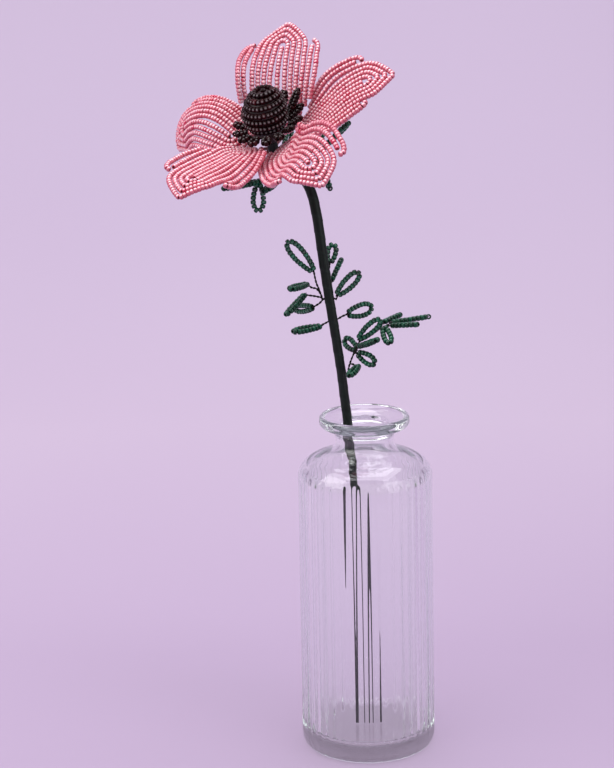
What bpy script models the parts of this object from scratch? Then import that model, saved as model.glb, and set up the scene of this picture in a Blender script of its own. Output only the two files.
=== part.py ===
"""Anemone made of glass seed beads on wire, standing in a small fluted glass bottle.

Everything is computed in millimetres and written in metres.
The origin is the centre of the bottle's base, +Z up, +X to the right and +Y away from the viewer.
"""

import math

import bmesh
import bpy
import numpy as np

MM = 0.001

# Bottle: outer and inner outline as (radius, height), read at the silhouette.
FLUTES = 44
FLUTE_DEPTH = 0.45
FLUTE_CREST = -91.2
FLUTE_LOW, FLUTE_HIGH = 1.8, 119.6
FLUTE_FULL_LOW, FLUTE_FULL_HIGH = 4.5, 117.2
BODY_TOP_RADIUS, BODY_BASE_RADIUS = 27.75, 28.15
SHOULDER_START = 0.6
HEEL_WIDE, HEEL_TALL = 3.2, 4.5
HEEL_ANGLE, HEEL_LEFT = 38.0, 0.64
SHOULDER_OUT = (
    (26.6, 120.3),
    (24.8, 122.6),
    (21.5, 125.0),
    (17.6, 126.8),
    (14.4, 128.3),
    (12.6, 130.2),
    (12.05, 132.6),
    (12.3, 135.2),
    (13.6, 136.9),
    (15.8, 138.0),
)
LIP = (
    (17.7, 138.9),
    (18.5, 140.2),
    (18.6, 141.6),
    (18.3, 142.7),
    (17.6, 143.25),
    (16.9, 143.05),
    (15.6, 142.3),
)
MOUTH_IN = (
    (13.0, 141.2),
    (10.9, 140.0),
    (9.9, 138.0),
    (9.8, 135.0),
    (9.8, 131.6),
    (10.9, 129.0),
    (13.6, 126.4),
    (18.4, 123.6),
    (22.0, 120.6),
    (24.1, 116.4),
    (24.6, 112.0),
    (24.6, 11.0),
    (23.4, 8.2),
    (20.5, 7.0),
)
COARSE_SIDES = FLUTES
FINE_PER_FLUTE = 4

# Bloom: its centre, the axis it faces along (up, to the left and towards the viewer) and one across.
CENTRE = np.array([-35.6, 0.0, 258.47])
BLOOM_AXIS = (-0.1913, -0.3351, 0.9226)
BLOOM_ACROSS = (0.9752, 0.0418, 0.2174)

# Stem: centre line below the bloom's hub as (x, y, z), and its radii.
STEM_LINE = (
    (-26.0, 8.0, 243.0),
    (-20.8, 7.6, 236.6),
    (-18.2, 4.6, 228.0),
    (-16.1, 1.5, 212.9),
    (-14.2, 0.4, 198.4),
    (-12.1, -1.0, 183.4),
    (-9.8, -1.6, 167.2),
    (-7.9, -2.0, 151.2),
    (-6.8, -2.0, 140.5),
    (-5.3, -1.0, 120.4),
    (-1.9, -0.5, 64.0),
    (-0.4, 0.0, 7.45),
)
STEM_RADIUS, STEM_FOOT_RADIUS = 1.95, 1.55
STEM_TAPER_HIGH, STEM_TAPER_LOW = 132.0, 112.0
HUB_HEIGHTS = (-3.0, -6.0, -9.5, -12.5)
HUB_RADIUS, HUB_SHARE = 2.2, 0.35
STEM_SIDES = 10
WIRE_RADIUS = 0.42
TOUCH_GAP = 0.3

# Dome: bead rings as (radius, height over the centre), bead radius, and the core below.
DOME_RINGS = ((8.0, 6.9), (8.2, 9.7), (7.9, 12.4), (7.0, 15.0), (5.6, 17.2), (3.6, 18.8))
DOME_APEX = 19.3
DOME_BEAD = 1.17
DOME_GROOVE, DOME_TOP_RADIUS = 0.5, 1.3
DOME_CORE = 2.4
DOME_SKIRT = ((6.4, 1.6), (6.7, 5.4), (7.4, 6.0))
DOME_RING_STEP = 2.7
DOME_SIDES = 20
DOME_LEAN, DOME_LEAN_FROM = 0.17, 10.0

# Stamens: loops of beads round the foot of the dome as (angle, raised angle, length).
STAMENS = (
    (14.0, 30.0, 8.0),
    (24.0, 50.0, 12.2),
    (48.0, 55.0, 10.4),
    (69.0, 56.0, 10.2),
    (97.0, 50.0, 7.5),
    (127.0, 38.0, 6.2),
    (155.0, 22.0, 5.6),
    (180.0, 8.0, 4.8),
    (206.0, 0.0, 4.6),
    (233.0, -4.0, 4.8),
    (260.0, -4.0, 4.8),
    (286.0, 4.0, 4.6),
    (314.0, 20.0, 4.8),
    (342.0, 26.0, 6.0),
)
STAMEN_RING_RADIUS, STAMEN_RING_HEIGHT = 8.6, 3.4
STAMEN_WIDTH = 2.9
STAMEN_BEAD, STAMEN_WIRE = 1.1, 0.75
STAMEN_FOOT_SHARE = 0.35
STAMEN_POINTS, STAMEN_RING_POINTS = 8, 24

# Bead loops: how full they are beside an ellipse, and for green ones the width kept at the foot.
LOOP_FULLNESS = 1.15
LEAF_FOOT_SHARE = 0.55
LEAF_BEAD = 1.15
LEAF_POINTS = 10
LEAF_SIDES = 5

# Petal layout on the flat, in mm: beads in rows nested round a middle row.
MIDDLE_ROW = 27.0
TIP_STEP, BASE_STEP, SIDE_STEP = 2.95, 2.25, 2.32
FULL_ROWS, OUTER_ROW = 4, 6
ROW_HALF, VALLEY_HALF, EDGE_HALF = 1.05, 0.45, 0.42
STATIONS = (-14.0, 0.0, 13.0, 26.0, 39.0)
BEYOND = 0.3
WIDTH_BASE, WIDTH_GAIN, WIDTH_REACH = 0.93, 0.13, 22.0
ROW_POINTS, SHOULDER_POINTS = 12, 8

# Round ends: slope and bluntness of a full row's tip; step, place and roundness of a shoulder's top.
TIP_SLOPE, TIP_BLUNT, TIP_BLEND = 1.1, 1.6, 6
POINT_SPREAD = 0.9
SHOULDER_STEP, SHOULDER_INSIDE = 2.2, 2.2
SHOULDER_ROUND, SHOULDER_LOSS = 5.2, 0.25
SHOULDER_NARROW, SHOULDER_EDGE = 1.15, 3.0

# Slits between rows: the least gap that opens, how far into it the slit goes, and its edge beside a row.
SLIT_LEAST, SLIT_REST = 0.6, 0.45
SLIT_EDGE = 0.16

# Petal sheet: the stretch it is worked out on, and where the shoulders join the outer full row.
SHEET_FROM, SHEET_TO, SHEET_STEPS = -14.5, 41.5, 161
JOIN_START, JOIN_BELOW, JOIN_STEP = 0.8, 5.0, 1.4
JOIN_CLEAR, JOIN_SAMPLES = 0.02, 400

# Petal tail: the bundle of wires from a petal's base to the hub.
TAIL_RADIUS, TAIL_SIDES = 0.75, 6
TAIL_SUNK, TAIL_OUT, TAIL_ASIDE = 1.6, 1.2, 0.8

# Petals. turn, roll, bend_left and bend_right are given at the base, the middle and the tip,
# rise at the five stations; slits are (row, middle, half length, extra gap), the row's sign its side.
PETALS = (
    {
        "angle": 65.3, "out": 15.2, "up": 2.4, "aside": 0.8,
        "rise": (75.9, 75.0, 53.3, 28.1, 14.7),
        "turn": (2.0, -5.0, 0.5), "roll": (5.9, 17.5, -6.1),
        "bend_left": (0.052, 0.026, -0.047), "bend_right": (0.037, 0.035, -0.049),
        "tops": (31.0, 28.0), "starts": ((1.5, 4.5), (1.5, 4.5)),
        "slits": ((5, 12.0, 16.0, 1.2), (1, 8.0, 18.0, 0.7), (-1, 8.0, 18.0, 0.7), (-6, 16.0, 12.0, 0.5)),
    },
    {
        "angle": -3.5, "out": 17.1, "up": 0.3, "aside": -0.1,
        "rise": (32.2, 34.9, 33.3, 14.8, -4.7),
        "turn": (-1.0, 3.2, -10.4), "roll": (-6.0, 6.4, 22.2),
        "bend_left": (0.025, -0.007, 0.016), "bend_right": (0.020, 0.020, -0.003),
        "tops": (26.0, 28.0), "starts": ((1.5, 4.5), (1.5, 4.5)),
        "slits": ((5, 12.0, 14.0, 0.9), (4, 16.0, 14.0, 1.0)),
    },
    {
        "angle": 274.7, "out": 18.1, "up": -1.2, "aside": 3.6,
        "rise": (-17.7, 3.4, 28.4, -9.7, -33.2),
        "turn": (-39.7, 15.4, 6.3), "roll": (35.7, 27.7, -3.3),
        "bend_left": (0.068, 0.004, -0.023), "bend_right": (0.120, 0.013, -0.034),
        "tops": (26.0, 29.0), "starts": ((-7.0, -6.0), (-6.0, -4.0)),
        "slits": ((6, 18.0, 10.0, 0.8), (5, 16.0, 12.0, 1.2)),
    },
    {
        "angle": 218.9, "out": 17.5, "up": -1.0, "aside": -3.2,
        "rise": (18.5, 10.8, 11.3, 9.5, -24.1),
        "turn": (18.1, 10.5, 18.9), "roll": (3.7, -1.5, 0.4),
        "bend_left": (0.073, 0.025, 0.030), "bend_right": (0.078, -0.047, -0.014),
        "tops": (25.5, 24.0), "starts": ((1.5, 4.5), (-6.0, -3.0)),
        "slits": ((-6, 16.0, 12.0, 0.8), (-5, 10.0, 10.0, 0.6), (5, 4.0, 9.0, 0.5)),
    },
    {
        "angle": 143.1, "out": 17.3, "up": -0.4, "aside": 2.9,
        "rise": (35.3, 29.4, 5.4, -41.0, -74.8),
        "turn": (1.3, -12.4, 2.4), "roll": (3.6, -29.3, -50.6),
        "bend_left": (0.022, -0.048, -0.032), "bend_right": (0.031, -0.052, -0.038),
        "tops": (26.0, 26.0), "starts": ((1.5, 4.5), (1.5, 4.5)),
        "slits": ((-1, 10.0, 12.0, 0.8), (1, 8.0, 10.0, 0.4)),
    },
)

# A direction that none of the tubes runs along, to start their sides from.
OFF_LINE = (0.31, 0.93, 0.2)

# Green loops: (foot, tip, width of the loop, turn of its plane in degrees, 0 faces the viewer).
BRACTS = (
    (
        ((-40.6, -6.0, 240.3), (-40.8, -8.0, 229.7), 4.4, 0.0),
        ((-34.0, -4.0, 239.8), (-38.3, -10.0, 237.7), 3.0, 80.0),
        ((-39.2, -5.6, 241.1), (-53.9, -14.0, 239.7), 3.0, 80.0),
    ),
    (
        ((-15.1, 9.0, 251.0), (-4.4, 4.0, 262.1), 3.0, 70.0),
        ((-16.8, 8.0, 247.1), (-12.2, 4.0, 236.1), 3.0, 70.0),
    ),
    (
        ((-23.8, 17.2, 247.8), (-14.6, 27.4, 254.5), 3.6, 11.0),
        ((-30.2, 20.3, 249.1), (-27.6, 32.6, 256.3), 3.6, 43.0),
    ),
)
BRACT_WIRES = (
    (((-33.6, 2.0, 243.7), (-34.0, -0.5, 242.8), (-37.0, -4.0, 241.5), (-40.3, -6.3, 240.8)),
     ((-33.9, 0.2, 243.1), (-33.6, -2.0, 241.4), (-34.2, -4.6, 239.6))),
    (((-24.2, 8.4, 245.2), (-20.0, 9.0, 247.4), (-15.0, 9.0, 251.2)),
     ((-20.4, 9.0, 247.2), (-18.0, 8.6, 247.4), (-16.7, 8.0, 246.8))),
    (((-30.9, 10.7, 246.0), (-31.6, 15.2, 246.9), (-30.4, 20.9, 249.6)),
     ((-31.1, 11.9, 246.1), (-26.6, 12.9, 246.6), (-23.4, 17.9, 248.3))),
)
UPPER_LOOPS = (
    ((-19.6, 0.5, 203.3), (-29.5, -3.5, 216.1), 4.9, 0.0),
    ((-12.9, 5.0, 205.7), (-11.3, 8.5, 212.5), 3.6, 0.0),
    ((-12.3, 4.5, 198.4), (-8.1, 12.0, 205.6), 2.6, 80.0),
    ((-10.2, 0.0, 193.4), (-1.6, -4.0, 203.1), 4.2, 0.0),
    ((-22.2, -2.0, 198.6), (-28.8, -14.0, 199.1), 3.2, 90.0),
    ((-23.1, -1.0, 194.3), (-30.7, -9.0, 187.8), 3.2, 80.0),
    ((-20.0, 1.0, 188.3), (-27.6, 11.0, 185.7), 2.9, 0.0),
)
UPPER_WIRES = (
    ((-10.4, 0.5, 191.6), (-12.2, 2.6, 191.7), (-14.5, 2.5, 191.6), (-16.1, 0.8, 191.8),
     (-16.6, 0.0, 193.4), (-17.7, 0.0, 196.5), (-18.6, 0.0, 199.0), (-19.5, 0.4, 203.6)),
    ((-16.9, 0.0, 194.2), (-18.5, 0.0, 196.2), (-20.4, -1.0, 196.9), (-22.5, -2.4, 198.7)),
    ((-16.2, 0.5, 192.3), (-19.0, -0.4, 193.2), (-23.4, -1.2, 194.1)),
    ((-16.0, 0.8, 191.6), (-17.4, 1.0, 190.0), (-20.3, 1.2, 188.2)),
    ((-10.8, 0.9, 191.7), (-10.3, 0.5, 192.3), (-10.1, 0.0, 193.7)),
    ((-12.5, 2.6, 191.6), (-12.9, 3.4, 195.0), (-12.2, 4.6, 198.7)),
    ((-12.9, 3.2, 194.4), (-13.6, 4.0, 199.0), (-12.8, 5.0, 206.0)),
)
MIDDLE_LOOPS = (
    ((-16.9, -1.0, 181.0), (-28.1, -8.0, 180.5), 3.0, 75.0),
    ((-6.1, 1.5, 185.2), (3.9, 8.5, 186.2), 5.0, 0.0),
)
MIDDLE_WIRES = (
    ((-17.4, -1.0, 181.0), (-14.9, 0.2, 182.0), (-12.9, 1.7, 182.6), (-10.6, 1.6, 183.0),
     (-8.4, 1.5, 184.2), (-5.8, 1.6, 185.3)),
)
LOWER_LOOPS = (
    ((-1.8, -2.0, 175.5), (6.7, -7.0, 184.3), 3.7, 0.0),
    ((8.2, 0.0, 181.7), (15.3, 9.0, 182.7), 3.0, 75.0),
    ((11.4, -1.0, 181.8), (26.7, 1.0, 183.5), 2.8, 80.0),
    ((8.2, -4.5, 180.8), (10.3, -12.0, 176.0), 3.0, 0.0),
    ((-2.7, 0.0, 170.6), (-7.1, 8.0, 173.1), 3.6, 0.0),
    ((-1.4, -3.0, 172.8), (5.3, -12.0, 177.1), 3.4, 80.0),
    ((-2.3, -1.5, 169.5), (4.2, -8.0, 166.8), 3.8, 0.0),
    ((-2.3, -3.0, 164.6), (-5.8, -12.0, 162.9), 3.0, 80.0),
    ((11.3, -3.0, 181.0), (21.5, -8.0, 182.3), 2.8, 80.0),
)
LOWER_WIRES = (
    ((-6.4, -1.6, 161.2), (-5.7, -1.4, 164.7), (-3.7, -1.2, 169.7), (-1.4, -1.2, 174.2),
     (1.6, -1.2, 175.8), (4.5, -1.2, 177.8), (6.9, -1.4, 179.4), (11.8, -1.2, 181.8)),
    ((-1.3, -1.2, 174.0), (-1.7, -1.6, 174.8), (-1.6, -2.2, 175.8)),
    ((6.6, -1.4, 179.2), (7.4, -0.6, 180.4), (8.5, 0.4, 181.8)),
    ((7.2, -1.4, 179.5), (7.9, -3.2, 180.0), (8.3, -5.0, 180.6)),
    ((-3.9, -1.2, 169.4), (-3.5, -0.4, 170.0), (-3.0, 0.4, 170.8)),
    ((-2.4, -1.2, 172.2), (-1.9, -2.4, 172.5), (-1.0, -3.6, 173.0)),
    ((-3.9, -1.2, 169.4), (-3.0, -1.4, 169.5), (-1.9, -1.9, 169.3)),
    ((-5.5, -1.4, 165.2), (-4.0, -2.2, 165.0), (-2.5, -3.6, 164.6)),
    ((9.0, -1.3, 180.4), (10.4, -2.4, 180.8), (11.8, -3.4, 181.1)),
)


def clear_scene():
    for obj in list(bpy.data.objects):
        bpy.data.objects.remove(obj, do_unlink=True)


def material(name, colour, roughness, transmission=0.0):
    mat = bpy.data.materials.new(name)
    mat.use_nodes = True
    mat.diffuse_color = (*colour, 1.0)
    shader = mat.node_tree.nodes["Principled BSDF"]
    shader.inputs["Base Color"].default_value = (*colour, 1.0)
    shader.inputs["Roughness"].default_value = roughness
    shader.inputs["Transmission Weight"].default_value = transmission
    return mat


def unit(vector):
    return vector / np.linalg.norm(vector)


def add_solid(name, points, faces, mat, home):
    """A mesh object from points in mm, its faces turned outwards."""
    mesh = bpy.data.meshes.new(name)
    mesh.from_pydata([tuple(MM * float(c) for c in p) for p in points], [], faces)
    work = bmesh.new()
    work.from_mesh(mesh)
    bmesh.ops.recalc_face_normals(work, faces=work.faces)
    work.to_mesh(mesh)
    work.free()
    mesh.materials.append(mat)
    obj = bpy.data.objects.new(name, mesh)
    home.objects.link(obj)
    return obj


def smooth_line(points, steps):
    """Points along a curve through the given ones, with this many steps in each stretch."""
    points = np.asarray(points, float)
    slopes = np.gradient(points, axis=0)
    line = []
    for i in range(len(points) - 1):
        for t in np.arange(steps) / steps:
            line.append(
                (2 * t**3 - 3 * t**2 + 1) * points[i]
                + (t**3 - 2 * t**2 + t) * slopes[i]
                + (3 * t**2 - 2 * t**3) * points[i + 1]
                + (t**3 - t**2) * slopes[i + 1]
            )
    line.append(points[-1])
    return np.array(line)


def tube_mesh(line, radii, sides, closed=False):
    """Points and faces of a tube along a line of points, its ends capped unless it is closed."""
    line = np.asarray(line, float)
    count = len(line)
    if closed:
        along = np.roll(line, -1, axis=0) - np.roll(line, 1, axis=0)
    else:
        along = np.gradient(line, axis=0)
    along /= np.linalg.norm(along, axis=1)[:, None]
    if closed:
        across = unit(np.linalg.svd(line - line.mean(axis=0))[2][2])
    else:
        across = unit(np.cross(along[0], OFF_LINE))
    radii = np.broadcast_to(radii, (count,))
    points = []
    for i in range(count):
        across = unit(across - along[i] * np.dot(across, along[i]))
        other = np.cross(along[i], across)
        for j in range(sides):
            turn = 2 * math.pi * j / sides
            points.append(line[i] + radii[i] * (math.cos(turn) * across + math.sin(turn) * other))
    faces = []
    for i in range(count if closed else count - 1):
        low, high = i * sides, (i + 1) % count * sides
        for j in range(sides):
            k = (j + 1) % sides
            faces.append((low + j, low + k, high + k, high + j))
    if not closed:
        faces.append(tuple(range(sides)))
        faces.append(tuple(range((count - 1) * sides, count * sides)))
    return points, faces


def loop_line(foot, along, side, length, width, foot_share, count):
    """The centre line of a closed loop of beads, narrow at its foot and round at its tip."""
    line = []
    for step in range(count):
        a = 2 * math.pi * step / count
        share = 0.5 - 0.5 * math.cos(a)
        widening = foot_share + (1 - foot_share) * share
        sideways = 0.5 * width * math.sin(a) * LOOP_FULLNESS * widening
        line.append(foot + along * length * share + side * sideways)
    return line


def leaf_line(foot, tip, width, turn):
    """The loop of one green leaf between two points."""
    foot, tip = np.asarray(foot, float), np.asarray(tip, float)
    length = np.linalg.norm(tip - foot)
    along = (tip - foot) / length
    sight = np.array([0.0, 1.0, 0.0])
    facing = unit(np.cross(along, sight))
    edge = np.cross(along, facing)
    side = math.cos(math.radians(turn)) * facing + math.sin(math.radians(turn)) * edge
    return loop_line(foot, along, side, length, width, LEAF_FOOT_SHARE, LEAF_POINTS)


def joined(name, pieces, mat, home, work):
    """One solid from overlapping meshes, each given as (points, faces)."""
    rest = bpy.data.collections.new(name + "_pieces")
    work.children.link(rest)
    body = add_solid(name, *pieces[0], mat, home)
    for i, piece in enumerate(pieces[1:]):
        add_solid(f"{name}_piece_{i}", *piece, mat, rest)
    union = body.modifiers.new("join", "BOOLEAN")
    union.operation = "UNION"
    union.operand_type = "COLLECTION"
    union.collection = rest
    union.solver = "MANIFOLD"
    bpy.context.view_layer.update()
    graph = bpy.context.evaluated_depsgraph_get()
    mesh = bpy.data.meshes.new_from_object(body.evaluated_get(graph))
    body.modifiers.clear()
    old = body.data
    body.data = mesh
    bpy.data.meshes.remove(old)
    for obj in list(rest.objects):
        bpy.data.objects.remove(obj, do_unlink=True)
    bpy.data.collections.remove(rest)
    mesh.name = name
    return body


def ring_points(radius, height, sides, depth=0.0, per_flute=0):
    """One level of the bottle. With a depth it is scalloped between the crests of the flutes."""
    points = []
    for j in range(sides):
        turn = math.radians(FLUTE_CREST) + 2 * math.pi * j / sides
        inward = 0.0
        if depth:
            inward = depth * (0.5 - 0.5 * math.cos(2 * math.pi * j / per_flute))
        points.append(
            ((radius - inward) * math.cos(turn), (radius - inward) * math.sin(turn), height)
        )
    return points


def make_bottle(mat, home):
    levels = [(BODY_BASE_RADIUS - HEEL_WIDE, 0.0, COARSE_SIDES, 0.0)]
    a = math.radians(HEEL_ANGLE)
    heel = BODY_BASE_RADIUS - HEEL_WIDE * (1 - math.sin(a))
    levels.append((heel, HEEL_TALL * (1 - math.cos(a)), COARSE_SIDES, 0.0))
    fine = FLUTES * FINE_PER_FLUTE
    for radius, height, depth in (
        (BODY_BASE_RADIUS - HEEL_LEFT, FLUTE_LOW, 0.0),
        (BODY_BASE_RADIUS, FLUTE_FULL_LOW, FLUTE_DEPTH),
        (BODY_TOP_RADIUS, FLUTE_FULL_HIGH, FLUTE_DEPTH),
        (BODY_TOP_RADIUS - SHOULDER_START, FLUTE_HIGH, 0.0),
    ):
        levels.append((radius, height, fine, depth))
    levels += [(r, z, COARSE_SIDES, 0.0) for r, z in SHOULDER_OUT + LIP + MOUTH_IN]
    points, faces, starts = [], [], []
    for radius, height, sides, depth in levels:
        starts.append(len(points))
        points += ring_points(radius, height, sides, depth, FINE_PER_FLUTE)
    for i in range(len(levels) - 1):
        low, high = starts[i], starts[i + 1]
        few, many = levels[i][2], levels[i + 1][2]
        if few == many:
            for j in range(few):
                k = (j + 1) % few
                faces.append((low + j, low + k, high + k, high + j))
            continue
        flip = few > many
        coarse, dense = (high, low) if flip else (low, high)
        few, many = min(few, many), max(few, many)
        share = many // few
        for j in range(few):
            nearest = coarse + j
            following = coarse + (j + 1) % few
            half = share // 2
            for m in range(share):
                a = dense + (j * share + m) % many
                b = dense + (j * share + m + 1) % many
                faces.append((nearest if m < half else following, b, a))
            faces.append((nearest, following, dense + (j * share + half) % many))
    points.append((0.0, 0.0, 0.0))
    points.append((0.0, 0.0, MOUTH_IN[-1][1]))
    base, floor = len(points) - 2, len(points) - 1
    for j in range(COARSE_SIDES):
        k = (j + 1) % COARSE_SIDES
        faces.append((base, starts[0] + k, starts[0] + j))
        faces.append((floor, starts[-1] + j, starts[-1] + k))
    return add_solid("bottle", points, faces, mat, home)


def flower_axes():
    """Two axes across the bloom and the one out of its middle."""
    out = unit(np.array(BLOOM_AXIS))
    first = np.array(BLOOM_ACROSS)
    first = unit(first - out * np.dot(first, out))
    return first, np.cross(out, first), out


def in_flower(axes, radius, angle, height):
    first, second, out = axes
    a = math.radians(angle)
    return CENTRE + radius * (math.cos(a) * first + math.sin(a) * second) + height * out


def make_stem(axes, mat, home):
    top = [in_flower(axes, 0.0, 0.0, h) for h in HUB_HEIGHTS]
    line = smooth_line(top + [np.array(p) for p in STEM_LINE], 2)
    down = np.arange(len(line)) / (len(line) - 1)
    radii = np.interp(line[:, 2], (STEM_TAPER_LOW, STEM_TAPER_HIGH), (STEM_FOOT_RADIUS, STEM_RADIUS))
    radii = radii + (HUB_RADIUS - STEM_RADIUS) * np.clip(1 - down / HUB_SHARE, 0, 1)
    points, faces = tube_mesh(line, radii, STEM_SIDES)
    return add_solid("stem", points, faces, mat, home)


def dome_shift(axes, height):
    """The dome leans a little to the right above its middle."""
    return max(0.0, height - DOME_LEAN_FROM) * DOME_LEAN * axes[0]


def make_dome(axes, mat, home):
    """A turned solid with one round ridge for each ring of beads."""
    profile = [(DOME_CORE, HUB_HEIGHTS[0] + TOUCH_GAP), (DOME_CORE, DOME_SKIRT[0][1] - TOUCH_GAP)]
    profile += DOME_SKIRT
    rings = list(DOME_RINGS) + [(DOME_TOP_RADIUS, DOME_APEX)]
    previous = np.array((rings[0][0], rings[0][1] - DOME_RING_STEP))
    for i, ring in enumerate(rings[:-1]):
        here, after = np.array(ring), np.array(rings[i + 1])
        run = unit(after - previous)
        outward = np.array((run[1], -run[0]))
        profile.append(tuple(here + outward * DOME_BEAD))
        profile.append(tuple((here + after) / 2 + outward * DOME_BEAD * DOME_GROOVE))
        previous = here
    profile.append((DOME_TOP_RADIUS, DOME_APEX + DOME_BEAD * DOME_GROOVE))
    points, faces = [], []
    for radius, height in profile:
        for j in range(DOME_SIDES):
            points.append(in_flower(axes, radius, 360 * j / DOME_SIDES, height) + dome_shift(axes, height))
    for i in range(len(profile) - 1):
        for j in range(DOME_SIDES):
            k = (j + 1) % DOME_SIDES
            low, high = i * DOME_SIDES, (i + 1) * DOME_SIDES
            faces.append((low + j, low + k, high + k, high + j))
    points.append(in_flower(axes, 0.0, 0.0, profile[0][1]))
    points.append(in_flower(axes, 0.0, 0.0, DOME_APEX + DOME_BEAD) + dome_shift(axes, DOME_APEX))
    low, high = 0, (len(profile) - 1) * DOME_SIDES
    for j in range(DOME_SIDES):
        k = (j + 1) % DOME_SIDES
        faces.append((len(points) - 2, low + k, low + j))
        faces.append((len(points) - 1, high + j, high + k))
    return add_solid("flower_centre", points, faces, mat, home)


def make_stamens(axes, mat, home, work):
    """Loops on a wire ring, low at the front and left and raised at the back and right."""
    ring = [
        in_flower(axes, STAMEN_RING_RADIUS, a, STAMEN_RING_HEIGHT)
        for a in np.linspace(0, 360, STAMEN_RING_POINTS, endpoint=False)
    ]
    pieces = [tube_mesh(ring, STAMEN_WIRE, 4, closed=True)]
    for angle, raised, length in STAMENS:
        out, up = math.cos(math.radians(raised)), math.sin(math.radians(raised))
        foot = in_flower(axes, STAMEN_RING_RADIUS, angle, STAMEN_RING_HEIGHT)
        tip_radius = STAMEN_RING_RADIUS + length * out
        tip = in_flower(axes, tip_radius, angle, STAMEN_RING_HEIGHT + length * up)
        along = unit(tip - foot)
        a = math.radians(angle)
        side = -math.sin(a) * axes[0] + math.cos(a) * axes[1]
        line = loop_line(foot, along, side, length, STAMEN_WIDTH, STAMEN_FOOT_SHARE, STAMEN_POINTS)
        pieces.append(tube_mesh(line, STAMEN_BEAD, 4, closed=True))
    return joined("stamen_ring", pieces, mat, home, work)


def make_spray(name, loops, wires, mat, home, work):
    pieces = [tube_mesh(leaf_line(*loop), LEAF_BEAD, LEAF_SIDES, closed=True) for loop in loops]
    for wire in wires:
        pieces.append(tube_mesh(wire, WIRE_RADIUS, LEAF_SIDES))
    return joined(name, pieces, mat, home, work)


def eased(x):
    x = np.clip(x, 0, 1)
    return x * x * (3 - 2 * x)


def between(values, v):
    """Values given at the stations, smoothly in between."""
    stations = np.array(STATIONS)
    values = np.asarray(values, float)
    slopes = np.gradient(values, stations)
    i = np.clip(np.searchsorted(stations, v) - 1, 0, len(stations) - 2)
    gap = stations[i + 1] - stations[i]
    t = np.clip((v - stations[i]) / gap, -BEYOND, 1 + BEYOND)
    return (
        (2 * t**3 - 3 * t**2 + 1) * values[i]
        + (t**3 - 2 * t**2 + t) * gap * slopes[i]
        + (3 * t**2 - 2 * t**3) * values[i + 1]
        + (t**3 - t**2) * gap * slopes[i + 1]
    )


def at_stations(three):
    """Base, middle and tip values spread over the five stations."""
    base, middle, tip = three
    return (base, (2 * base + 3 * middle) / 5, middle, (middle + tip) / 2, tip)


class PetalSheet:
    """The curved middle surface of a petal, with u across and v from the base to the tip."""

    def __init__(self, axes, petal):
        first, second, out = axes
        a = math.radians(petal["angle"])
        radial = math.cos(a) * first + math.sin(a) * second
        sideways = -math.sin(a) * first + math.cos(a) * second
        self.v = np.linspace(SHEET_FROM, SHEET_TO, SHEET_STEPS)
        rise = np.radians(between(petal["rise"], self.v))[:, None]
        turn = np.radians(between(at_stations(petal["turn"]), self.v))[:, None]
        roll = np.radians(between(at_stations(petal["roll"]), self.v))[:, None]
        along = np.cos(rise) * (np.cos(turn) * radial + np.sin(turn) * sideways)
        along = along + np.sin(rise) * out
        step = self.v[1] - self.v[0]
        spine = np.vstack([np.zeros(3), np.cumsum((along[1:] + along[:-1]) / 2 * step, axis=0)])
        start = np.array([np.interp(0.0, self.v, spine[:, j]) for j in range(3)])
        root = CENTRE + petal["out"] * radial + petal["up"] * out + petal["aside"] * sideways
        self.spine = spine - start + root
        across = -np.sin(turn) * radial + np.cos(turn) * sideways
        above = np.cross(along, across)
        self.across = np.cos(roll) * across + np.sin(roll) * above
        self.above = np.cos(roll) * above - np.sin(roll) * across
        self.bend_left = between(at_stations(petal["bend_left"]), self.v)
        self.bend_right = between(at_stations(petal["bend_right"]), self.v)

    def point(self, u, v, lift):
        spine, across, above = (
            np.array([np.interp(v, self.v, field[:, j]) for j in range(3)])
            for field in (self.spine, self.across, self.above)
        )
        bend = np.interp(v, self.v, self.bend_right if u > 0 else self.bend_left)
        if abs(bend) < 1e-5:
            bend = 1e-5
        arc, sign = bend * abs(u), math.copysign(1.0, u)
        sunk = spine + sign * math.sin(arc) / bend * across + (1 - math.cos(arc)) / bend * above
        return sunk + lift * (math.cos(arc) * above - sign * math.sin(arc) * across)


def row_side(row, side, v, slits):
    """How far from the middle a row lies at v, before its tip and base are rounded."""
    u = row * SIDE_STEP * (WIDTH_BASE + WIDTH_GAIN * eased((v + 2) / WIDTH_REACH))
    for gap, middle, half, extra in slits:
        if gap * side > 0 and row >= abs(gap):
            t = np.clip((v - middle) / half, -1, 1)
            u = u + extra * (1 - t * t) ** 2
    return u


def full_row(row, side, slits, shares):
    """Half of a full row, from the middle of its base to its tip, at these shares of the way."""
    tip, base = MIDDLE_ROW + TIP_STEP * row, -BASE_STEP * row
    v = base + (tip - base) * (0.5 - 0.5 * np.cos(np.pi * shares**POINT_SPREAD))
    if row == 0:
        return np.stack([0 * v, v], axis=1)
    wide = row_side(row, side, v, slits)
    u = wide * np.where(v < 0, np.sqrt(np.clip(1 - (v / base) ** 2, 0, 1)), 1.0)
    left = np.clip(tip - v, 0, None)
    pointed = TIP_SLOPE * np.sqrt(left * (left + TIP_BLUNT))
    both = np.maximum(np.stack([u, pointed]), 1e-6)
    narrowed = (both ** (-float(TIP_BLEND))).sum(axis=0) ** (-1 / TIP_BLEND)
    u = np.where(pointed < 3 * wide, narrowed, u)
    u[shares <= 0] = 0
    u[shares >= 1] = 0
    return np.stack([side * u, v], axis=1)


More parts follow.
